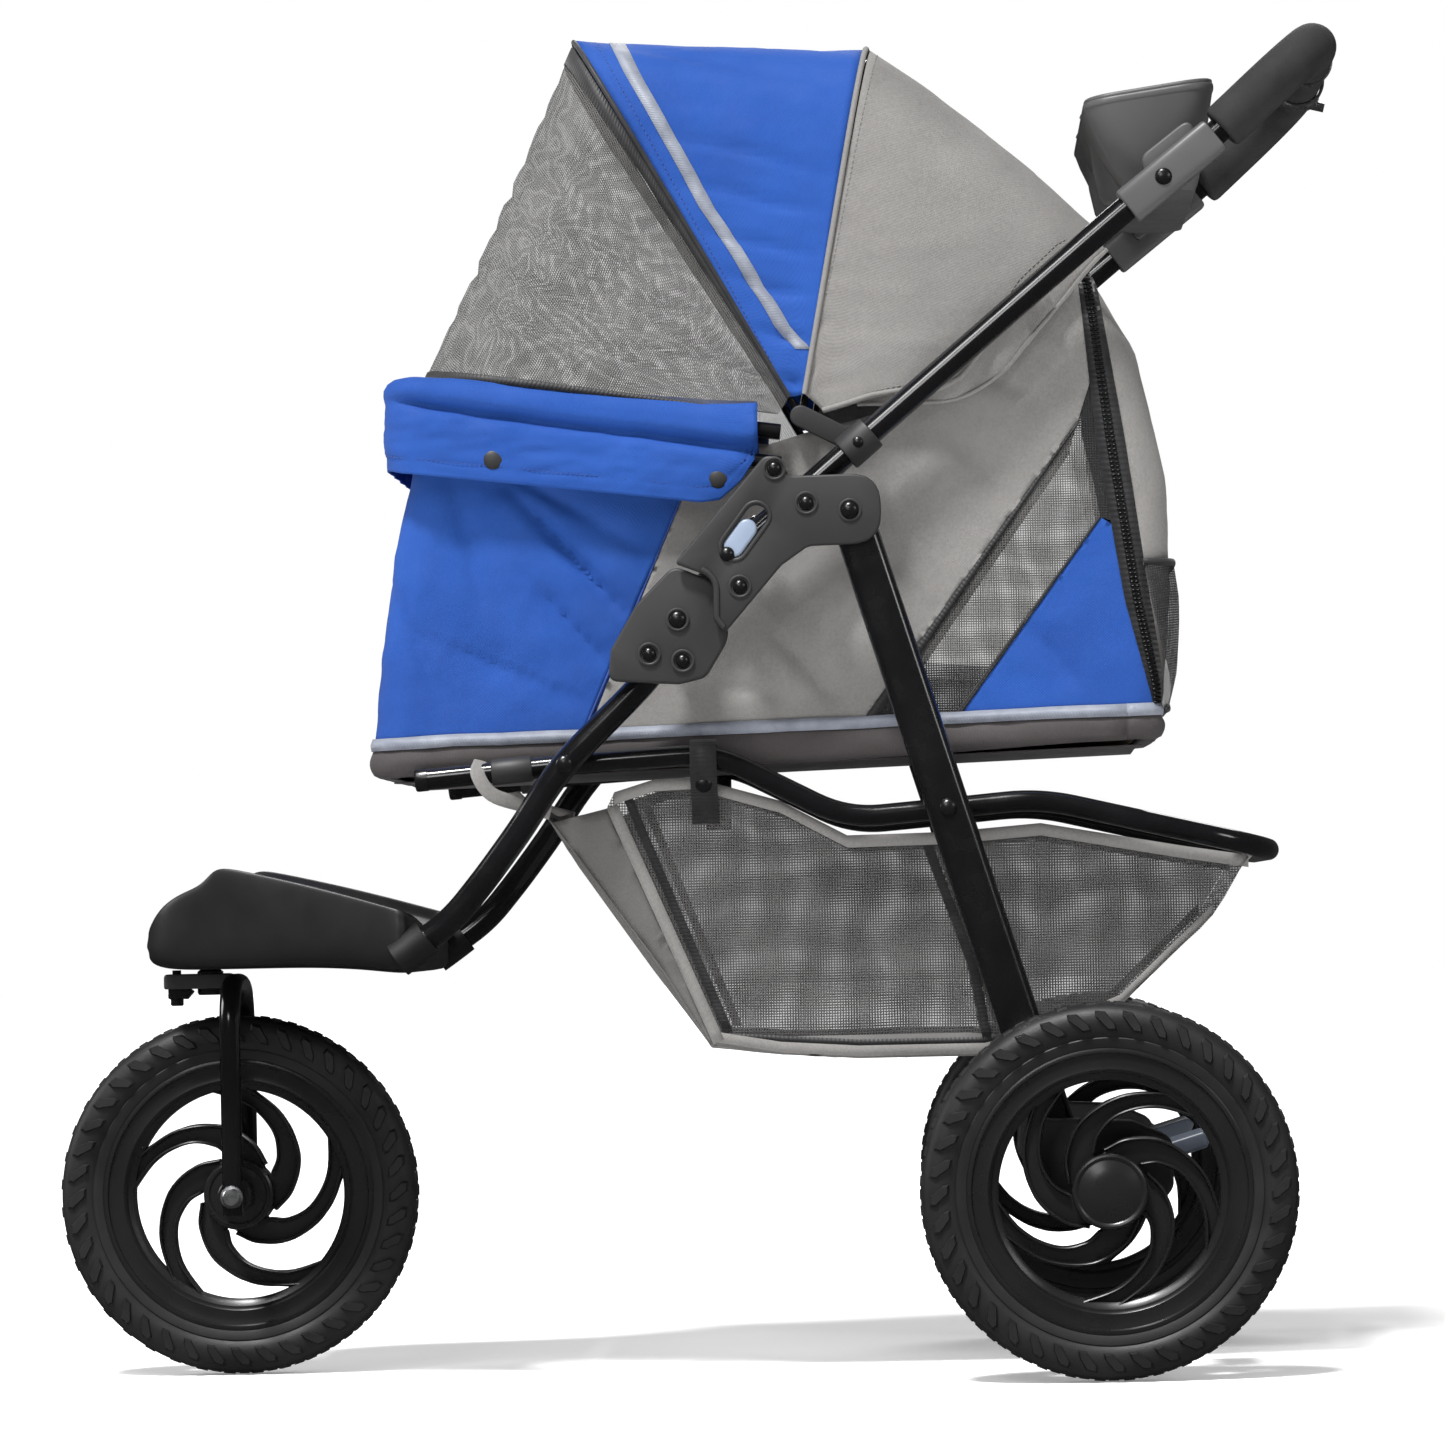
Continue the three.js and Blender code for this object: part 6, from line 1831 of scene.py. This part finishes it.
def flap():
    rows = []
    count = 34
    for t in np.linspace(0, 1, count):
        row = []
        for p, out in wrap_row(0, 53.4, FLAP_WALL, FLAP_HALF, FLAP_CORNER, (60, 12, 60)):
            low = float(np.interp(p.x, [q[0] for q in FLAP_BOTTOM], [q[1] for q in FLAP_BOTTOM]))
            high = float(np.interp(p.x, [q[0] for q in FLAP_TOP], [q[1] for q in FLAP_TOP]))
            z = low + (high - low) * t
            over_tube = math.exp(-(((z - rim_height(p.x)) / 10) ** 4))
            tuck = 8.5 * abs(out.y) ** 3 * math.exp(-(((z - rim_height(p.x) + 15 + 0.02 * p.x) / 4.5) ** 2))
            over = max(0.0, (t - 0.86) / 0.14) * math.pi * 0.9
            hem = 0.5 * math.exp(-(((z - low - 11) / 1.6) ** 2))
            soft = abs(rumple(p.x * 0.45, p.y * 0.45, z * 1.5, 24, 2.6)) + abs(rumple(p.x, p.y, z, 60, 1.8))
            belly = 1.6 * math.sin(math.pi * min(1, t * 1.2))
            roll = 7.5 * (1 - math.cos(over))
            z += 5.5 * math.sin(over) + (t > 0.5) * rumple(p.x, p.y, 0, 60, 1)
            soft *= 1 - 0.9 * over_tube
            row.append(Vector((p.x, p.y, z)) + out * (belly - tuck - roll - hem - soft + 1.2 * over_tube))
        rows.append(row)
    obj = grid_mesh("front_flap.piece", rows, BLUE)
    cloth(obj, "rim", "blue_fabric", ["front_flap"], (0.92, 0.078), 1.0)
    pieces = [obj]
    line = []
    for p, out in wrap_row(0, 44, FLAP_WALL, FLAP_HALF, FLAP_CORNER, (34, 12, 34)):
        low = float(np.interp(p.x, [q[0] for q in FLAP_BOTTOM], [q[1] for q in FLAP_BOTTOM]))
        line.append(Vector((p.x, p.y, low + 11.5)) + out * 0.2)
    pieces.append(stitches("flap_stitching", line, "rim", BLUE_BINDING, "blue_fabric"))
    for name, side in SIDES:
        heads = rivets(f"flap_snaps_{name}", SNAPS, side * 177.4, side, BLACK_PLASTIC, 7.6, 2.6)
        pieces.append(place(heads, "rim", "black_plastic"))
    for piece in pieces[:2]:
        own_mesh(piece)


# ------------------------------------------------------------------ basket
BASKET_SIDE_TOP = ((-112, 423), (-67.5, 440), (-3.6, 441), (18.8, 440), (63.4, 428), (113, 402), (188, 404), (257, 408), (361, 389), (412, 383))
BASKET_BOTTOM = ((-112, 421), (7, 246), (60, 238), (118, 234), (212, 234), (228, 235), (314, 268), (384, 334), (412, 378))


def basket_y(z, half=156.5):
    return 126 + (half - 126) * max(0, min(1, (z - 232) / 180))


def basket_side(name, side):
    """A mesh side panel, bound in grey, that sags inward between the rail and the floor."""
    def surface(x, z):
        depth = max(0.0, min(1.0, (z - 236) / 60)) * max(0.0, min(1.0, (430 - z) / 60))
        sag = depth * (3.5 + rumple(x, side * 9, z, 55, 3.0))
        return x, side * (basket_y(z) - sag), z

    top = [(-60, 437), (-30, 446), (-3.6, 447), (18.8, 441), (63.4, 428), (113, 401), (188, 402), (257, 407), (361, 388), (411, 380)]
    bottom = [(384, 336), (314, 270), (250, 244), (212, 236), (118, 236), (60, 240), (9, 249)]
    outline = [*top[::-1], (-66, 425)][::-1] + bottom
    obj = patch(f"basket_side_mesh_{name}", outline, surface, BASKET_MESH, 9)
    pieces = [cloth(obj, "cradle", "mesh_fabric", [], (0.46, 0.21), 0)]
    for part, line, width in (("top", top, 9), ("front", [(-66, 425), (9, 247)], 9), ("foot", bottom[::-1], 8)):
        path = refined_line(line, 9)
        rows = []
        for offset in (0, width / 2, width):
            row = []
            for x, z in path:
                shift = {"top": (0, -offset), "front": (offset * 0.9, offset * 0.42), "foot": (0, offset)}[part]
                px, py, pz = surface(x + shift[0], z + shift[1])
                row.append(Vector((px, py + side * 1.1, pz)))
            rows.append(row)
        tape = thickened(grid_mesh(f"basket_{part}_binding_{name}", rows, GREY), 0.9)
        pieces.append(place(tape, "cradle", "grey_fabric"))
    gusset = [(-66, 425), (9, 247), (7, 246), (-10, 270), (-34, 303), (-62, 344), (-88, 382), (-108, 415)]
    foot = [(9, 250), (60, 252), (118, 252), (200, 252), (222, 250), (226, 240), (212, 234.5), (118, 234.5), (60, 238.5), (9, 246)]
    for part, outline, flat in (("gusset", gusset, (0.20, 0.06)), ("foot_band", foot, (0.22, 0.02))):
        sheet = patch(f"basket_{part}_{name}", outline, surface, DARK_GREY, 9)
        pieces.append(cloth(sheet, "cradle", "grey_fabric", [], flat, 1.0))
    pieces += basket_seams(name, side, surface)
    return pieces


def basket_seams(name, side, surface):
    """The dark tape inside the bindings and down the rear corner."""
    pieces = []
    for part, line in (("front_tape", [(-50, 432), (20, 256)]), ("foot_tape", [(20, 253), (118, 246), (212, 246), (250, 254)]), ("rear_tape", [(170, 400), (205, 300), (214, 246)])):
        rows = []
        for offset in (-3.5, 3.5):
            rows.append([Vector(surface(x + offset, z + (abs(offset) * 0.2))) + Vector((0, side * 0.8, 0)) for x, z in refined_line(line, 9)])
        if part == "foot_tape":
            rows = [[Vector(surface(x, z + offset)) + Vector((0, side * 0.8, 0)) for x, z in refined_line(line, 9)] for offset in (-2.5, 2.5)]
        tape = thickened(grid_mesh(f"basket_{part}_{name}", rows, BINDING), 0.7)
        pieces.append(place(tape, "cradle", "dark_fabric"))
    return pieces


def basket_panels():
    """The solid front and floor of the basket, and its low mesh rear, as one trough of cloth."""
    def across(x, z, sag, columns=22):
        half = basket_y(z, 157.5)
        row = []
        for y in np.linspace(-half, half, columns):
            dip = sag * (1 - (y / half) ** 2)
            row.append(Vector((x, y, z - dip + rumple(x, y, z, 40, 1.4))))
        return row

    front = [(-112, 422), (-88, 388), (-62, 352), (-34, 312), (-10, 275), (7, 246)]
    floor = [(7, 246), (60, 239.5), (118, 236), (170, 235.4), (212, 236), (232, 239)]
    rear = [(232, 239), (270, 253), (314, 272), (350, 304), (384, 336), (404, 368), (412, 380)]
    pieces = []
    cuts = (
        ("basket_front_panel", front, DARK_GREY, "grey_fabric", (0.30, 0.215), 1.0),
        ("basket_floor_panel", floor, DARK_GREY, "grey_fabric", (0.26, 0.23), 1.0),
        ("basket_rear_panel", rear, BASKET_MESH, "mesh_fabric", (0.30, 0.235), 0),
    )
    for name, line, material, slot, flat, thick in cuts:
        stations = spline([Vector((x, 0, z)) for x, z in line], 3)
        rows = [across(p.x, p.z, 1.2 if "floor" in name else 0.0) for p in stations]
        obj = grid_mesh(name, rows, material)
        pieces.append(cloth(obj, "cradle", slot, [], flat, thick))
    lip = [Vector((-112, y, 424 - 4 * (1 - (y / 155) ** 2))) for y in np.linspace(-155, 155, 24)]
    pieces.append(seam("basket_front_lip", lip, "cradle", GREY, 3.0))
    back = [Vector((412, y, 382 - 4 * (1 - (y / 155) ** 2))) for y in np.linspace(-155, 155, 24)]
    pieces.append(seam("basket_rear_lip", back, "cradle", GREY, 3.0))
    return pieces


def basket_straps(name, side):
    """A webbing loop with a snap round the rail, the front hanger loop, and the rail's rubber sleeve and end cap."""
    y = side * RAIL_Y
    rows = []
    for x in (-2.4, 17.5):
        profile = [(y + side * 9.4, 466), (y + side * 9.6, 456), (y + side * 6, 444), (y - side * 6, 434), (y - side * 12, 424), (y - side * 12.2, 412)]
        rows.append([Vector((x, yy, zz)) for yy, zz in profile])
    cap = [Vector((0, y - side * 2, 474)), ]
    loop = [(y - side * 9, 462), (y - side * 6, 471), (y, 474), (y + side * 6, 471)]
    rows = [[Vector((row[0].x, yy, zz)) for yy, zz in loop] + row for row in rows]
    strap = place(thickened(grid_mesh(f"basket_strap_{name}", rows, BINDING), 1.4), "cradle", "dark_fabric")
    snap = rivets(f"basket_strap_snap_{name}", [(7.5, 441)], y + side * 5.0, side, GLOSSY_PLASTIC, 6.2, 2.2)
    place(snap, "cradle", "black_plastic")
    sleeve_line = [Vector((x, y, 449 + (x + 204) * 9.1 / 109.7)) for x in (-150, -149, -121, -120)]
    sleeve = tapered(sleeve_line, ring_section(9.8, 24), [0.94, 1, 1, 0.94])
    place(add_mesh(f"rail_sleeve_{name}", *sleeve, BLACK_PLASTIC, sharp=40), "cradle", "black_plastic")
    cap_line = [Vector((x, y, 449 + (x + 204) * 9.1 / 109.7)) for x in (-207.5, -207, -205.5, -198)]
    end = tapered(cap_line, ring_section(8.7, 24), [0.8, 0.94, 1, 1])
    place(add_mesh(f"rail_end_cap_{name}", *end, GLOSSY_PLASTIC, sharp=40), "cradle", "black_plastic")
    hanger = spline([Vector((x, side * yy, z)) for x, yy, z in ((-158, 171, 462), (-160, 180, 452), (-150, 178, 437), (-128, 168, 429), (-108, 158, 423))], 6)
    strip = sweep(hanger, oval_section(1.0, 5.5, 2.6, 12), Vector((0, 1, 0)))
    return [place(add_mesh(f"basket_hanger_{name}", *strip, GREY, sharp=60), "cradle", "grey_fabric")]


def basket():
    pieces = basket_panels()
    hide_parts("basket")
    for name, side in SIDES:
        pieces += basket_side(name, side)
        basket_straps(name, side)
    for piece in pieces:
        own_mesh(piece)
    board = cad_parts["floor_board"]
    board.data.materials.clear()
    board.data.materials.append(BOARD)


# ------------------------------------------------------------------ light, floor and camera
def studio():
    world = bpy.data.worlds.new("studio")
    bpy.context.scene.world = world
    world.use_nodes = True
    bpy.context.scene.view_settings.view_transform = "Standard"
    tree = world.node_tree
    seen = tree.nodes["Background"]
    seen.inputs["Color"].default_value = (1, 1, 1, 1)
    seen.inputs["Strength"].default_value = 1.0
    rays = tree.nodes.new("ShaderNodeLightPath")
    shown = seen.outputs["Background"]
    for is_ray, strength in (("Is Diffuse Ray", 0.12), ("Is Glossy Ray", 0.04)):
        paper = tree.nodes.new("ShaderNodeBackground")
        paper.inputs["Color"].default_value = (1, 1, 1, 1)
        paper.inputs["Strength"].default_value = strength
        mixed = tree.nodes.new("ShaderNodeMixShader")
        tree.links.new(rays.outputs[is_ray], mixed.inputs["Fac"])
        tree.links.new(shown, mixed.inputs[1])
        tree.links.new(paper.outputs["Background"], mixed.inputs[2])
        shown = mixed.outputs["Shader"]
    tree.links.new(shown, tree.nodes["World Output"].inputs["Surface"])
    sun = bpy.data.lights.new("sky", "SUN")
    sun.energy, sun.angle = 5.2, math.radians(9)
    lamp = bpy.data.objects.new("sky", sun)
    lamp.rotation_euler = Vector((0.22, 0.42, -0.88)).to_track_quat("-Z", "Y").to_euler()
    bpy.context.scene.collection.objects.link(lamp)
    floor = add_mesh("studio_floor", [(-12000, -6000, 0), (12000, -6000, 0), (12000, 30000, 0), (-12000, 30000, 0)], [[0, 1, 2, 3]], floor_material())
    floor.location.z = -0.0006
    floor.visible_glossy = False
    lights = (
        ("key", (-1.4, -2.6, 2.9), (0, 0, 0.55), 1.0, 27), ("fill", (2.6, -2.4, 1.7), (0, 0, 0.5), 1.0, 14),
        ("rim", (0.4, 2.8, 2.6), (0, 0, 0.5), 2.0, 40), ("side", (-2.8, 0.2, 1.4), (0, 0, 0.5), 1.2, 20),
        ("front", (-0.9, -4.0, 2.3), (0, 0, 0.5), 1.3, 26),
    )
    for name, place_at, target, size, power in lights:
        data = bpy.data.lights.new(name, "AREA")
        data.shape, data.size, data.energy = "DISK", size, power
        lamp = bpy.data.objects.new(name, data)
        bpy.context.scene.collection.objects.link(lamp)
        lamp.location = place_at
        lamp.rotation_euler = (Vector(target) - Vector(place_at)).to_track_quat("-Z", "Y").to_euler()


def floor_material():
    nodes = Nodes("studio_paper")
    colour = nodes.ramp(nodes.noise(1.5, 2), [(0.3, (0.93, 0.93, 0.93)), (0.7, (0.95, 0.95, 0.95))])
    roughness = nodes.ramp(nodes.noise(3, 2), [(0.3, (0.9,) * 3), (0.7, (0.95,) * 3)])
    return nodes.finish(colour, roughness, Emission_Color=(1, 1, 1, 1), Emission_Strength=0.22)


CAMERA_AT = Vector((0.1736, -5.0, 0.3397))
CAMERA_TARGET = Vector((0.017, 0.0, 0.492))
CAMERA_LENS = 162.0
CAMERA_ROLL = math.radians(-1.25)


def camera():
    data = bpy.data.cameras.new("view")
    data.lens, data.sensor_width = CAMERA_LENS, 36.0
    data.clip_start, data.clip_end = 0.1, 60
    obj = bpy.data.objects.new("view", data)
    bpy.context.scene.collection.objects.link(obj)
    aim = (CAMERA_TARGET - CAMERA_AT).to_track_quat("-Z", "Y").to_matrix().to_4x4()
    obj.matrix_world = Matrix.Translation(CAMERA_AT) @ aim @ Matrix.Rotation(CAMERA_ROLL, 4, "Z")
    bpy.context.scene.camera = obj


camera()
studio()
front_frame()
footrest()
castor()
wheels()
rear_frame()
handle()
cup_tray()
cradle_frame()
canopy()
cabin()
flap()
basket()
